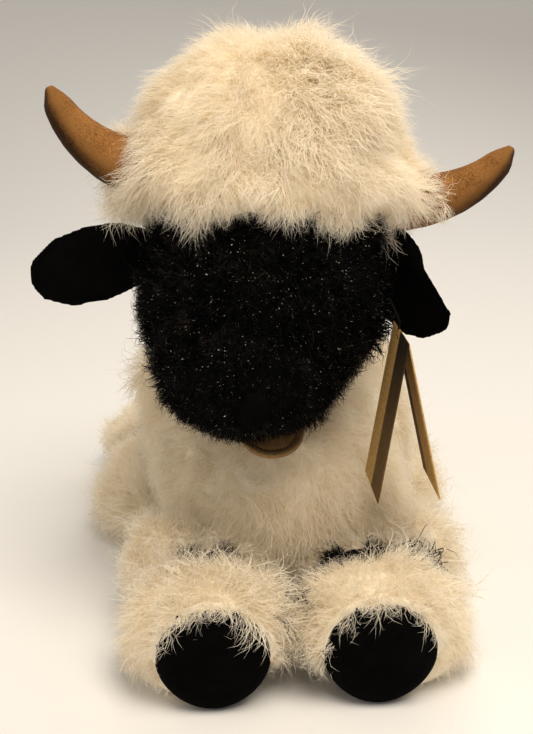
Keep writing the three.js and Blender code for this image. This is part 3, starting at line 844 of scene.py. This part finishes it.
def hug_foot(tube, foot, along):
    """Brings the cuff forward to the sole, a little wider than the foot, and sinks its end."""
    low_corner, high_corner = [np.array(corner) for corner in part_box(foot)]
    middle, reach = (low_corner + high_corner) / 2, (high_corner - low_corner)[2] / 2
    sole = low_corner[1] if along < 0 else high_corner[1]
    at = spots(tube.data)
    spoke = (at - middle) * (1, 0, 1)
    gap = np.linalg.norm(spoke, axis=1)
    spoke /= gap[:, None]
    facing = np.clip(3 * np.sum(normals(tube.data) * spoke, axis=1), 0, 1)
    side_on = facing * np.clip(spoke[:, 2] * 2 + 0.9, 0, 1)
    near = np.clip((36 * MM - np.abs(at[:, 1] - sole)) / (8 * MM), 0, 1)
    at += spoke * (side_on * near * (np.maximum(gap, reach + CUFF_OVER) - gap))[:, None]
    inside = np.clip((reach + SUNK_FROM - gap) / (3 * MM), 0, 1)
    at[:, 1] -= along * inside * np.maximum(0, along * (at[:, 1] - sole) + SUNK_BACK)
    move_to(tube.data, at)


def clear_of(foot, least=None):
    """Tells whether a spot lies outside the tube of a foot."""
    middle, reach, _, _ = foot_place(foot)

    def outside(at):
        apart = math.hypot(at.x - middle[0], at.z - middle[2])
        return apart > (least or reach - 1) or abs(at.y - middle[1]) > 20
    return outside


KNEE_FRONT, KNEE_BACK, KNEE_TOP = -112, -86, 48
BAND_FRONT, BAND_BACK = -110, -93
THIGH, BAND, CUFF, FOOT = range(4)


def shape_foreleg(tube):
    """Lowers the dome at the knee, and draws the cuff back where the two feet meet."""
    for corner in tube.data.vertices:
        at = corner.co
        if KNEE_FRONT * MM < at.y < KNEE_BACK * MM:
            at.z -= 0.8 * max(0, at.z - KNEE_TOP * MM)
        inside = min(1, max(0, (32 * MM - abs(at.x)) / (12 * MM)))
        low = min(1, max(0, (22 * MM - at.z) / (12 * MM)))
        front = min(1, max(0, (-118 * MM - at.y) / (14 * MM)))
        at.y += 24 * MM * inside * low * front
    tube.data.update()


def dye_leg(tube, foot, is_fore):
    """White cuff round the foot's tube; on a foreleg the black band runs straight across."""
    on_foot = clear_of(foot, 22.5)
    region = tube.data.attributes["region"].data
    for face in tube.data.polygons:
        own = region[face.index]
        if own.value == FOOT and on_foot(face.center / MM):
            own.value, face.material_index = CUFF, 0
    if is_fore:
        shape_foreleg(tube)
        for face in tube.data.polygons:
            own, y = region[face.index], face.center.y / MM
            if own.value != FOOT:
                own.value = BAND if BAND_FRONT < y < BAND_BACK else THIGH if y >= BAND_BACK else CUFF
                face.material_index = 1 if own.value == BAND else 0


def band_comb(along, foot, peaks):
    """The same comb for a black knee patch: short pile that grows long at a few places across."""
    lay = leg_comb(along, foot)

    def comb(at, normal, rim):
        lie, size, thick = lay(at, normal, rim)
        long = 0.3 + sum(high * np.exp(-((at[:, 0] - x) / wide) ** 2) for x, wide, high in peaks)
        return lie, size * long, thick * np.clip(0.2 + 2.5 * (long - 0.3), 0, 1)
    return comb


FRINGE_TUFTS = tufts(
    "fringe_tuft", 9, fibres=12, steps=4, long=5 * MM, wide=0.32 * MM, root=1.8 * MM,
    rise=0.7, fall=2.5, splay=0.4, curl=2.0, loose=0.0, together=0.7,
)


def fringe_comb(foot):
    """Over the upper edge of a sole and down, longest in the middle."""
    middle, reach, _, _ = foot_place(foot)

    def comb(at, normal, rim):
        lie = np.zeros_like(at) + (0, -0.8, -1)
        across = np.clip(1.25 - (np.abs(at[:, 0] - middle[0]) / reach) ** 2, 0, 1)
        return unit(flat(lie, normal)), 0.3 + 0.7 * across, np.clip(across * 2, 0, 1)
    return comb


PATCHES = {
    "foreleg_left": ((65, 9, 1.2), (44, 8, 0.35), (24, 4, 0.6)),
    "foreleg_right": ((-48, 4, 0.7), (-33, 7, 0.55)),
    "hindleg_left": (),
    "hindleg_right": (),
}
FRINGE_FRONT, FRINGE_LOW = -146, 34
for side in ("left", "right"):
    for leg, parts, along in (
        ("foreleg", ("foreleg", "knee", "foreleg_cuff", "forefoot"), -1.0),
        ("hindleg", ("haunch", "hock", "hindleg_cuff", "hindfoot"), 1.0),
    ):
        nodes = [f"{part}_{side}" for part in parts]
        thigh, band, cuff, foot = nodes
        looks = [WHITE_SKIN, BLACK_SKIN, WHITE_SKIN, BLACK_SKIN]
        tube = cover(f"{leg}_cover_{side}", nodes, 9 * MM, 5.5 * MM, looks)
        hug_foot(tube, foot, along)
        dye_leg(tube, foot, leg == "foreleg")
        unwrap(tube)
        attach(tube, "root")
        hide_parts(thigh, band, cuff)
        white, free, lay = (thigh, cuff), clear_of(foot), leg_comb(along, foot)
        coat(f"{leg}_pile_{side}", tube, lambda at, piece: piece in white and free(at), lay,
             LEG_TUFTS, 2.0 * MM, WHITE_FIBRE, wander=0.8, vary=0.4, seed=10)
        coat(f"{leg}_band_{side}", tube, lambda at, piece: piece == band,
             band_comb(along, foot, PATCHES[f"{leg}_{side}"]), BAND_TUFTS, 2.0 * MM, BLACK_FIBRE,
             wander=3.0, seed=11)
        if leg == "foreleg":
            coat(f"{leg}_fringe_{side}", tube,
                 lambda at, piece: at.y < FRINGE_FRONT and at.z > FRINGE_LOW and free(at),
                 fringe_comb(foot), FRINGE_TUFTS, 1.5 * MM, WHITE_FIBRE, wander=0.4,
                 locks=8.0, vary=0.55, seed=13)
            coat(f"{leg}_strands_{side}", tube,
                 lambda at, piece: piece in white and abs(at.x) < 8 and at.y < -96 and 8 < at.z < 50,
                 lay, BAND_TUFTS, 4.4 * MM, BLACK_FIBRE, wander=1.5, seed=12)


# Head: one stuffed ball, its face of curly black pile, its crown and nape of long white fleece
HEAD_PIECES = ["head", "head_fleece", "nose", "eye_left", "eye_right"]
HEAD_PIECES += ["ear_left", "ear_right", "horn_left", "horn_right"]
looks = [WHITE_SKIN if piece == "head_fleece" else BLACK_SKIN for piece in HEAD_PIECES]
head = cover("head_cover", HEAD_PIECES, 9 * MM, 5.2 * MM, looks)
unwrap(head)
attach(head, "root")
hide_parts("head", "head_fleece")
MOP_TUFTS = tufts(
    "mop_tuft", 16, fibres=12, steps=3, long=16 * MM, wide=0.3 * MM, root=2.2 * MM,
    rise=0.55, fall=1.8, splay=0.4, curl=2.0, loose=0.03, together=0.6,
)
FACE_TUFTS = tufts(
    "face_tuft", 10, fibres=7, steps=3, long=9 * MM, wide=0.4 * MM, root=1.3 * MM,
    rise=0.3, fall=2.2, splay=0.9, curl=3.0, together=0.5,
)
crown = (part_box("head_fleece")[0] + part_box("head_fleece")[1]) / 2 / MM
crown = np.array((crown.x, crown.y + 10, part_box("head_fleece")[1].z / MM))


def parted(at):
    """The two partings in the fringe."""
    fringe = (at[:, 1] < -80) & (at[:, 2] < 228)
    first = 1 - 0.75 * fringe * np.exp(-((at[:, 0] + 19) / 8) ** 2)
    return first * (1 - 0.75 * fringe * np.exp(-((at[:, 0] - 39) / 6) ** 2))


# Where the mop is longer or shorter than the rest: place, reach and share, in mm
MOP_SWELLS = (
    ((-86, -60, 232), 18, 0.6),
    ((66, -58, 246), 22, -0.65),
    ((12, -62, 300), 15, 0.4),
    ((50, -66, 273), 16, 0.6),
    ((-18, -60, 296), 18, -0.3),
    ((-52, -80, 274), 14, -0.3),
)


def mop_comb(at, normal, rim):
    """Away from the crown and down; longer over the right horn, with two partings in the fringe."""
    lie = unit(at - crown)
    lie[:, 2] -= 0.35
    size = np.clip(0.65 + rim / 28, 0, 1)
    size *= 1 + 0.45 * lumps(at, 13)
    for place, reach, share in MOP_SWELLS:
        size *= 1 + share * near_to(at, place, reach)
    size *= 1 + 0.18 * np.clip((at[:, 0] + 5) / 45, -0.8, 1) * np.clip((at[:, 2] - 245) / 20, 0, 1)
    return unit(flat(lie, normal)), size * parted(at), np.ones(len(at))


def hem_comb(at, normal, rim):
    """Only along the hem of the fleece: down, in locks that swing to either side."""
    swing = lumps(at, 9)
    lie = np.cross(normal, (0, 0, 1)) * (2.2 * swing)[:, None] - np.array((0, 0, 1.0))
    size = 1 + 0.5 * lumps(at, 15)
    size *= 1 + 0.3 * np.exp(-((at[:, 0] + 38) / 14) ** 2)
    size *= 1 - 0.65 * near_to(at, (66, -74, 208), 15)
    return unit(flat(lie, normal)), size * parted(at), np.clip(1.5 - rim / 6, 0, 1)


def face_comb(at, normal, rim):
    """Straight down, long at the left cheek and short at the chin."""
    lie = np.zeros_like(at)
    lie[:, 2] = -1
    cheek, chin = near_to(at, (44, -76, 161), 12), near_to(at, (-12, -108, 110), 22)
    return unit(flat(lie, normal)), 1 + 0.9 * cheek - 0.45 * chin, np.ones(len(at))


def fleeced(at, piece):
    """The crown and nape, with the very root of each horn."""
    return piece == "head_fleece" or piece in ("horn_left", "horn_right") and -66 < at.x < 52


MIDDLE_X, MIDDLE_Y = crown[0], crown[1] - 10
MOP_ZONES = {
    "mop_pile_front_left": lambda at: at.y < MIDDLE_Y and at.x >= MIDDLE_X,
    "mop_pile_front_right": lambda at: at.y < MIDDLE_Y and at.x < MIDDLE_X,
    "mop_pile_rear_left": lambda at: at.y >= MIDDLE_Y and at.x >= MIDDLE_X,
    "mop_pile_rear_right": lambda at: at.y >= MIDDLE_Y and at.x < MIDDLE_X,
}
for seed, (name, zone) in enumerate(MOP_ZONES.items()):
    coat(name, head, lambda at, piece: fleeced(at, piece) and zone(at), mop_comb, MOP_TUFTS,
         1.8 * MM, WHITE_FIBRE, wander=0.35, locks=12.0, vary=0.3, seed=20 + seed)
HEM_TUFTS = tufts(
    "hem_tuft", 9, fibres=16, steps=4, long=12.5 * MM, wide=0.32 * MM, root=1.8 * MM,
    rise=0.5, fall=2.0, splay=0.3, curl=2.4, loose=0.04, together=0.75,
)
coat("mop_hem", head, lambda at, piece: piece == "head_fleece" and at.y < -20, hem_comb,
     HEM_TUFTS, 2.0 * MM, WHITE_FIBRE, wander=0.5, locks=8.0, vary=0.3, seed=40)
coat("face_pile", head, lambda at, piece: piece in ("head", "eye_left", "eye_right"), face_comb,
     FACE_TUFTS, 1.75 * MM, BLACK_FIBRE, wander=3.0, locks=8.0, vary=0.3, seed=30)


# Velour and suede: a short brushed nap, a little lighter where it was stroked
def nap_nodes():
    """Broad patches and fine grain between two colours; only the grain is felt as bumps."""
    tree, given, result = node_group(
        "nap", "ShaderNodeTree",
        {"Base": "Color", "Stroked": "Color", "Grain": "Float", "Depth": "Float"},
        {"Colour": "Color", "Stroke": "Float", "Normal": "Vector"},
    )
    place = out(add_node(tree, "ShaderNodeTexCoord"), "Object")
    patches = {"Vector": place, "Scale": 45, "Detail": 6, "Roughness": 0.7}
    patches = out(add_node(tree, "ShaderNodeTexNoise", patches), "Fac")
    fine = {"Vector": place, "Scale": given["Grain"], "Detail": 3}
    fine = out(add_node(tree, "ShaderNodeTexNoise", fine), "Fac")
    half = math_node(tree, "MULTIPLY_ADD", fine, 0.5, 0.0)
    stroke = math_node(tree, "MULTIPLY_ADD", patches, 0.5, half)
    much = {"Value": stroke, "From Min": 0.38, "From Max": 0.66}
    much = out(add_node(tree, "ShaderNodeMapRange", much))
    shade = {"Factor": much, "A": given["Base"], "B": given["Stroked"]}
    shade = add_node(tree, "ShaderNodeMix", shade, data_type="RGBA")
    bump = {"Strength": 0.5, "Distance": given["Depth"], "Height": fine}
    bump = add_node(tree, "ShaderNodeBump", bump)
    tree.links.new(out(shade), result["Colour"])
    tree.links.new(stroke, result["Stroke"])
    tree.links.new(out(bump), result["Normal"])
    return tree


NAP = nap_nodes()


def nap_look(name, colour, stroked, grain, sheen, roughness=0.85, depth=0.15 * MM, painted_shade_and_dark_tip=None):
    """A nap; where the mesh's attribute says so, it is painted darker, as painted shade and a darker
    tip.
    """
    made = material(
        name, colour, roughness, Sheen_Weight=sheen, Sheen_Roughness=0.5, Specular_IOR_Level=0.02,
    )
    tree = made.node_tree
    nap = {"Base": (*colour, 1), "Stroked": (*stroked, 1), "Grain": grain, "Depth": depth}
    nap = add_node(tree, "ShaderNodeGroup", nap, node_tree=NAP)
    tone = out(nap, "Colour")
    if painted_shade_and_dark_tip:
        against = add_node(tree, "ShaderNodeAttribute", attribute_name="painted_shade_and_dark_tip")
        edge = math_node(tree, "MULTIPLY_ADD", out(nap, "Stroke"), 3.2, -2.1)
        much = {0: out(against, "Fac"), 1: 1.6, 2: edge}
        much = add_node(tree, "ShaderNodeMath", much, operation="MULTIPLY_ADD", use_clamp=True)
        dark = {"Factor": out(much), "A": tone, "B": (*painted_shade_and_dark_tip, 1)}
        tone = out(add_node(tree, "ShaderNodeMix", dark, data_type="RGBA"))
    shader = tree.nodes["Principled BSDF"]
    tree.links.new(tone, shader.inputs["Base Color"])
    tree.links.new(out(nap, "Normal"), shader.inputs["Normal"])
    return made


VELOUR = nap_look("black_velour", (0.0007, 0.0007, 0.0007), (0.0032, 0.003, 0.0028), 2600, 0.0)
SUEDE = nap_look(
    "horn_suede", (0.13, 0.054, 0.015), (0.37, 0.172, 0.050), 1400, 0.05, depth=0.3 * MM,
    painted_shade_and_dark_tip=(0.035, 0.016, 0.006),
)


def smooth_copy(node, voxel, relax, swell=0.0):
    """The frame's piece with its facets melted away, as a mesh of its own."""
    rough = bpy.data.objects.new(node + "_rough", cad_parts[node].data.copy())
    scene.collection.objects.link(rough)
    melt = rough.modifiers.new("melt", "REMESH")
    melt.mode = "VOXEL"
    melt.voxel_size = voxel
    relaxed = rough.modifiers.new("relax", "SMOOTH")
    relaxed.iterations = relax
    mesh = finished_mesh(rough)
    move_to(mesh, [v.co + v.normal * swell for v in mesh.vertices])
    mesh.materials.clear()
    mesh.polygons.foreach_set("use_smooth", [True] * len(mesh.polygons))
    return mesh


def own_frame(at):
    """Middle and three axes of a cloud of points, longest first."""
    middle = (at.max(0) + at.min(0)) / 2
    _, axes = np.linalg.eigh(np.cov((at - middle).T))
    return middle, axes[:, ::-1]


def add_piece(name, mesh, look, replaced):
    """Adds a mesh to the toy in place of the frame's pieces."""
    mesh.materials.append(look)
    made = bpy.data.objects.new(name, mesh)
    scene.collection.objects.link(made)
    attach(made, "root")
    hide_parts(*replaced)
    return made


# Horns: stuffed suede cones with a round tip, sewn along the inside of the bend. The nap is
# painted darker on the lower outer side of the bend as painted shade, and darker towards the tip.
TIP_RADIUS = 5.6 * MM
LEFT_RAISED = 1.2 * MM
for side, outwards in (("left", 1.0), ("right", -1.0)):
    mesh = smooth_copy(f"horn_{side}", 1.1 * MM, 14, 0.6 * MM)
    at = spots(mesh)
    far = np.abs(at[:, 0])
    share = (far - far.min()) / (far.max() - far.min())
    root = at[share < 0.2].mean(0)
    farthest = at[np.argmax(np.linalg.norm(at - root, axis=1))]
    tip_gap = np.linalg.norm(at - farthest, axis=1) / MM
    end = at[(tip_gap > 7) & (tip_gap < 12)].mean(0)
    before = at[(tip_gap > 15) & (tip_gap < 20)].mean(0)
    axis = unit((end - before)[None])[0]
    heart = end + axis * (((at - end) @ axis).max() - TIP_RADIUS)
    apart = at - heart
    gap = np.linalg.norm(apart, axis=1)
    ahead = np.clip(apart @ axis / TIP_RADIUS + 0.6, 0, 1) * (tip_gap < 16)
    pull = 1 + ahead * (np.minimum(TIP_RADIUS / gap, 1) - 1)
    at = heart + apart * pull[:, None]
    if side == "left":
        at[:, 2] += LEFT_RAISED
    move_to(mesh, at)
    # Painted shade: darker on the lower outer side of the bend; darker also towards the tip
    outer_side = unit(np.array([[outwards * 0.8, 0.0, -0.6]]))[0]
    under = np.clip(normals(mesh) @ outer_side + 0.05, 0, 1)
    tip = np.clip((share - 0.4) / 0.5, 0, 1)
    dark = 0.66 * under + 0.36 * tip + 0.35 * tip * under
    mesh.attributes.new("painted_shade_and_dark_tip", "FLOAT", "POINT").data.foreach_set("value", dark)
    add_piece(f"horn_cover_{side}", mesh, SUEDE, [f"horn_{side}"])


# Ears: two velour leaves sewn edge to edge, barely stuffed, cupped a little towards the front,
# with a fine piping along the edge. The right one hangs out and down, the left one bends in.
EAR_CUP = 2.2 * MM
EAR_PIPING = 0.8 * MM
RIGHT_TURN, RIGHT_HANGS = -86 * MM, 2.5 * MM
LEFT_TURN, LEFT_BENDS = 56 * MM, 4 * MM
for side in ("left", "right"):
    mesh = smooth_copy(f"ear_{side}", 1.3 * MM, 10)
    at = spots(mesh)
    middle, axes = own_frame(at)
    local = (at - middle) @ axes
    half = np.abs(local).max(0)
    share = local / half
    if axes[1, 2] > 0:
        axes[:, 2] *= -1
        local[:, 2] *= -1
    rim = np.clip(np.hypot(share[:, 0], share[:, 1]), 0, 1)
    pinch = 1 - 0.45 * np.clip((rim - 0.72) / 0.2, 0, 1)
    local[:, 2] = local[:, 2] * pinch + EAR_CUP * (share[:, 1] ** 2 - 0.4)
    ridge = np.exp(-((rim - 0.97) / 0.035) ** 2)
    local[:, 2] += np.sign(local[:, 2]) * 0.5 * EAR_PIPING * ridge
    at = local @ axes.T + middle
    if side == "right":
        outer = np.clip((RIGHT_TURN - at[:, 0]) / (30 * MM), 0, 1)
        at[:, 0] -= RIGHT_HANGS * outer
        at[:, 2] -= RIGHT_HANGS * outer
    else:
        outer = np.clip((at[:, 0] - LEFT_TURN) / (14 * MM), 0, 1)
        at[:, 0] -= LEFT_BENDS * outer * np.exp(-((at[:, 2] - 186 * MM) / (11 * MM)) ** 2)
        at[:, 0] += LEFT_BENDS * outer * np.exp(-((at[:, 2] - 160 * MM) / (9 * MM)) ** 2)
    move_to(mesh, at)
    add_piece(f"ear_leaf_{side}", mesh, VELOUR, [f"ear_{side}"])


# Feet: velour discs sewn to a short tube, crowned by the stuffing, narrower towards the floor, the
# seam round the sole drawn in a little by its stitches
def turned(name, points, around, last_from=None):
    """A closed mesh from rings of points, the rings from last_from on in the second material."""
    faces = []
    for ring in range(len(points) // around - 1):
        for k in range(around):
            after = (k + 1) % around
            faces.append([ring * around + k, ring * around + after,
                          (ring + 1) * around + after, (ring + 1) * around + k])
    mesh = bpy.data.meshes.new(name)
    mesh.from_pydata(points, [], faces)
    work = bmesh.new()
    work.from_mesh(mesh)
    for face in work.faces:
        face.material_index = int(last_from is not None and face.index // around >= last_from)
    bmesh.ops.remove_doubles(work, verts=work.verts, dist=0.01 * MM)
    bmesh.ops.recalc_face_normals(work, faces=work.faces)
    work.to_mesh(mesh)
    work.free()
    mesh.polygons.foreach_set("use_smooth", [True] * len(mesh.polygons))
    return mesh


SOLE_CROWN, SOLE_EDGE = 1.2, 6.0
SEAM_BACK, SEAM_WIDE = 7.2, 0.5
SOLE_SEAM = 0.35 * MM
SOLE_SUNK, SOLE_CLEAR = 0.6 * MM, 0.3 * MM
PUCKERS = 44
FOOT_AROUND = 176
SOLE_RINGS = (0, 0.2, 0.4, 0.55, 0.67, 0.77, 0.85, 0.91, 0.95, 0.98, 1.0)
RIM = [(r, SOLE_CROWN * (1 - r * r) - SOLE_EDGE * r ** 6) for r in SOLE_RINGS]
RIM += [(1.0, -6.6), (1.0, -7.2), (1.0, -7.8), (1.0, -9.0), (1.0, -14.0), (1.0, -27.0), (0.0, -28.0)]
for end, way in (("fore", -1), ("hind", 1)):
    for side in ("left", "right"):
        node = f"{end}foot_{side}"
        at = spots(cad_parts[node].data)
        low, high = at.min(0), at.max(0)
        sole_at, back_at = (low[1], high[1]) if way < 0 else (high[1], low[1])
        sole = at[np.abs(at[:, 1] - sole_at) < 0.05 * MM].mean(0)
        back = at[np.abs(at[:, 1] - back_at) < 12 * MM].mean(0)
        axis = Vector(sole - back)
        axis.z = 0
        radius = (high[2] - low[2]) / 2
        centre = Vector(((low[0] + high[0]) / 2, sole_at, radius))
        if end == "fore":
            axis.x = 0
        else:
            centre.x = sole[0]
        axis.normalize()
        across = Vector((0, 0, 1)).cross(axis).normalized()
        points = []
        for out_share, deep in RIM:
            seam = SOLE_SEAM * math.exp(-((deep + SEAM_BACK) / SEAM_WIDE) ** 2)
            for k in range(FOOT_AROUND):
                turn = 2 * math.pi * k / FOOT_AROUND
                pucker = 0.5 + 0.5 * math.cos(PUCKERS * turn)
                r = out_share * radius - seam * (0.4 + 0.6 * pucker)
                up = math.sin(turn)
                wide = r * math.cos(turn) * (1.01 + 0.05 * up - 0.04 * min(0, up) ** 2)
                spot = centre + axis * (deep * MM - SOLE_SUNK)
                spot = spot + across * wide + Vector((0, 0, r * up))
                spot.z = max(spot.z, SOLE_CLEAR)
                points.append(spot)
        mesh = turned(node, points, FOOT_AROUND)
        add_piece(f"{end}foot_cover_{side}", mesh, VELOUR, [node])


# Nose: a small velour pad sewn flat into the pile
mesh = smooth_copy("nose", 0.7 * MM, 8)
at = spots(mesh)
middle = (at.max(0) + at.min(0)) / 2
at = middle + (at - middle) * (0.75, 1.0, 0.75) + (0, 1.5 * MM, 0)
move_to(mesh, at)
add_piece("nose_pad", mesh, VELOUR, ["nose"])


# Eyes: glossy domed beads, set deep in the pile
EYE_LOOK = material("eye_gloss", (0.0015, 0.0015, 0.0015), 0.08, Coat_Weight=0.6, Coat_Roughness=0.05)
for side in ("left", "right"):
    low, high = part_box(f"eye_{side}")
    centre, radius = (low + high) / 2, (high - low).z / 2
    mesh = bpy.data.meshes.new(f"eye_bead_{side}")
    work = bmesh.new()
    bmesh.ops.create_icosphere(work, subdivisions=4, radius=radius * 0.85)
    for vertex in work.verts:
        vertex.co.y *= 0.8
        vertex.co += centre + Vector((0, 5.2 * MM, 0))
    work.to_mesh(mesh)
    work.free()
    mesh.polygons.foreach_set("use_smooth", [True] * len(mesh.polygons))
    add_piece(f"eye_bead_{side}", mesh, EYE_LOOK, [f"eye_{side}"])


# Badge: a round of brown leather under the chin, its rim rubbed lighter, with a ring of stitches
def mottled(name, low_colour, high_colour, scale, roughness, depth, stretch=(1, 1, 1)):
    made = material(name, high_colour, roughness, Specular_IOR_Level=0.25)
    with_grain(
        made, Low=(*low_colour, 1), High=(*high_colour, 1), From=0.35, To=0.65, Scale=scale,
        Detail=8, Roughness=0.65, Stretch=stretch, Bump=0.5, Depth=depth,
    )
    return made


LEATHER = mottled("badge_leather", (0.22, 0.115, 0.04), (0.36, 0.205, 0.08), 500, 0.5, 0.1 * MM)
RUBBED = mottled("rubbed_leather", (0.20, 0.11, 0.042), (0.33, 0.20, 0.08), 700, 0.55, 0.1 * MM)
THREAD = mottled("dark_thread", (0.012, 0.008, 0.005), (0.03, 0.02, 0.01), 3000, 0.8, 0.05 * MM)
at = spots(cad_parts["badge"].data)
middle, axes = own_frame(at)
local = (at - middle) @ axes
radius, thick = np.abs(local[:, 0]).max(), np.abs(local[:, 2]).max()
normal = Vector(axes[:, 2])
if normal.y > 0:
    normal = -normal
side_way = Vector((1, 0, 0))
up_way = normal.cross(side_way).normalized()
PROFILE = ((0.0, 0.55), (0.66, 0.55), (0.72, 0.50), (0.74, 0.36), (0.78, 0.36), (0.80, 0.52))
RIM_FROM = 5
PROFILE += ((0.83, 0.75), (0.90, 0.98), (0.96, 0.92), (1.0, 0.55), (1.0, -0.7), (0.97, -1.0))
PROFILE += ((0.0, -1.0),)
BADGE_AROUND = 96
points = []
for out_share, high_share in PROFILE:
    for k in range(BADGE_AROUND):
        turn = 2 * math.pi * k / BADGE_AROUND
        way = side_way * math.cos(turn) + up_way * math.sin(turn)
        points.append(Vector(middle) + way * (radius * out_share) + normal * (thick * high_share))
mesh = turned("badge_disc", points, BADGE_AROUND, RIM_FROM)
badge = add_piece("badge_disc", mesh, LEATHER, ["badge"])
badge.data.materials.append(RUBBED)


# Stitches: a ring of short dark threads sunk in the badge's groove
def stitch_nodes():
    tree, given, result = node_group(
        "stitch_ring", "GeometryNodeTree",
        {
            "Radius": "Float", "Stitches": "Int", "Length": "Float", "Thickness": "Float",
            "Thread": "Material",
        },
        {"Ring": "Geometry"},
    )
    ring = {"Vertices": given["Stitches"], "Radius": given["Radius"]}
    ring = add_node(tree, "GeometryNodeMeshCircle", ring)
    thread = {"Segments": 8, "Rings": 6, "Radius": 0.5}
    thread = add_node(tree, "GeometryNodeMeshUVSphere", thread)
    place = out(add_node(tree, "GeometryNodeInputPosition"))
    along = {0: (0, 0, 1), 1: place}
    along = add_node(tree, "ShaderNodeVectorMath", along, operation="CROSS_PRODUCT")
    aim = add_node(tree, "FunctionNodeAlignRotationToVector", {"Vector": out(along)}, axis="X")
    size = {"X": given["Length"], "Y": given["Thickness"], "Z": given["Thickness"]}
    size = add_node(tree, "ShaderNodeCombineXYZ", size)
    laid = add_node(
        tree, "GeometryNodeInstanceOnPoints",
        {
            "Points": out(ring, "Mesh"),
            "Instance": out(thread, "Mesh"),
            "Rotation": out(aim),
            "Scale": out(size),
        },
    )
    real = add_node(tree, "GeometryNodeRealizeInstances", {"Geometry": out(laid)})
    coloured = {"Geometry": out(real), "Material": given["Thread"]}
    coloured = add_node(tree, "GeometryNodeSetMaterial", coloured)
    tree.links.new(out(coloured), result["Ring"])
    return tree


spool = bpy.data.objects.new("stitches", bpy.data.meshes.new("stitches"))
scene.collection.objects.link(spool)
sew = spool.modifiers.new("sew", "NODES")
sew.node_group = stitch_nodes()
set_inputs(sew, {
    "Radius": radius * 0.76, "Stitches": 40, "Length": 1.5 * MM, "Thickness": 0.5 * MM,
    "Thread": THREAD,
})
mesh = finished_mesh(spool)
for vertex in mesh.vertices:
    x, y, z = vertex.co
    vertex.co = Vector(middle) + side_way * x + up_way * y + normal * (z + thick * 0.42)
mesh.polygons.foreach_set("use_smooth", [True] * len(mesh.polygons))
stitches = bpy.data.objects.new("badge_stitches", mesh)
scene.collection.objects.link(stitches)
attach(stitches, "root")


# Card: two leaves of kraft card folded over the fastener, their edges crisp, each with one long
# strip darkened as painted shade, darkest at the top as a painted shadow of the ear
EAR_SHADOW_LOW, EAR_SHADOW_HIGH = 110 * MM, 158 * MM


def card_look(name, from_y, to_y):
    """Kraft card with one strip of painted shade, from one place across it on, darker towards the
    fold as a painted shadow of the ear.
    """
    made = mottled(name, (0.44, 0.25, 0.075), (0.62, 0.385, 0.125), 260, 0.8, 0.05 * MM, (1, 1, 3))
    tree = made.node_tree
    card = tree.nodes["Principled BSDF"].inputs["Base Color"]
    place = add_node(tree, "ShaderNodeTexCoord")
    split = add_node(tree, "ShaderNodeSeparateXYZ", {0: out(place, "Object")})
    # Painted shade: one long strip of the leaf is darkened
    shaded_strip = {"Value": out(split, "Y"), "From Min": from_y, "From Max": to_y}
    shaded_strip = out(add_node(tree, "ShaderNodeMapRange", shaded_strip))
    # Painted shadow of the ear: the strip darkens towards the top
    ear_shadow = {"Value": out(split, "Z"), "From Min": EAR_SHADOW_LOW, "From Max": EAR_SHADOW_HIGH}
    ear_shadow = out(add_node(tree, "ShaderNodeMapRange", ear_shadow))
    shade_colour = {"Factor": ear_shadow, "A": (0.22, 0.20, 0.18, 1), "B": (0.03, 0.025, 0.02, 1)}
    shade_colour = out(add_node(tree, "ShaderNodeMix", shade_colour, data_type="RGBA"))
    coloured = {"Factor": shaded_strip, "A": card.links[0].from_socket, "B": shade_colour}
    coloured = add_node(tree, "ShaderNodeMix", coloured, data_type="RGBA", blend_type="MULTIPLY")
    tree.links.new(out(coloured), card)
    return made


KRAFT = {
    "right": card_look("kraft_card", -103.5 * MM, -105 * MM),
    "left": card_look("kraft_card_back", -98 * MM, -97 * MM),
}
for side in ("left", "right"):
    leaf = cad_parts[f"swing_tag_{side}"]
    leaf.data.materials.clear()
    leaf.data.materials.append(KRAFT[side])
    edge = leaf.modifiers.new("cut_edge", "BEVEL")
    edge.width = 0.12 * MM
    edge.segments = 2


# Fastener: a moulded plastic loop with a bar at its end
PLASTIC = mottled(
    "fastener_plastic", (0.001, 0.001, 0.001), (0.002, 0.002, 0.002), 800, 0.7, 0.02 * MM,
)
PLASTIC.node_tree.nodes["Principled BSDF"].inputs["Specular IOR Level"].default_value = 0.08
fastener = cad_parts["tag_fastener"]
fastener.data.materials.clear()
fastener.data.materials.append(PLASTIC)
round_off = fastener.modifiers.new("moulded", "BEVEL")
round_off.width = 0.2 * MM
round_off.segments = 2
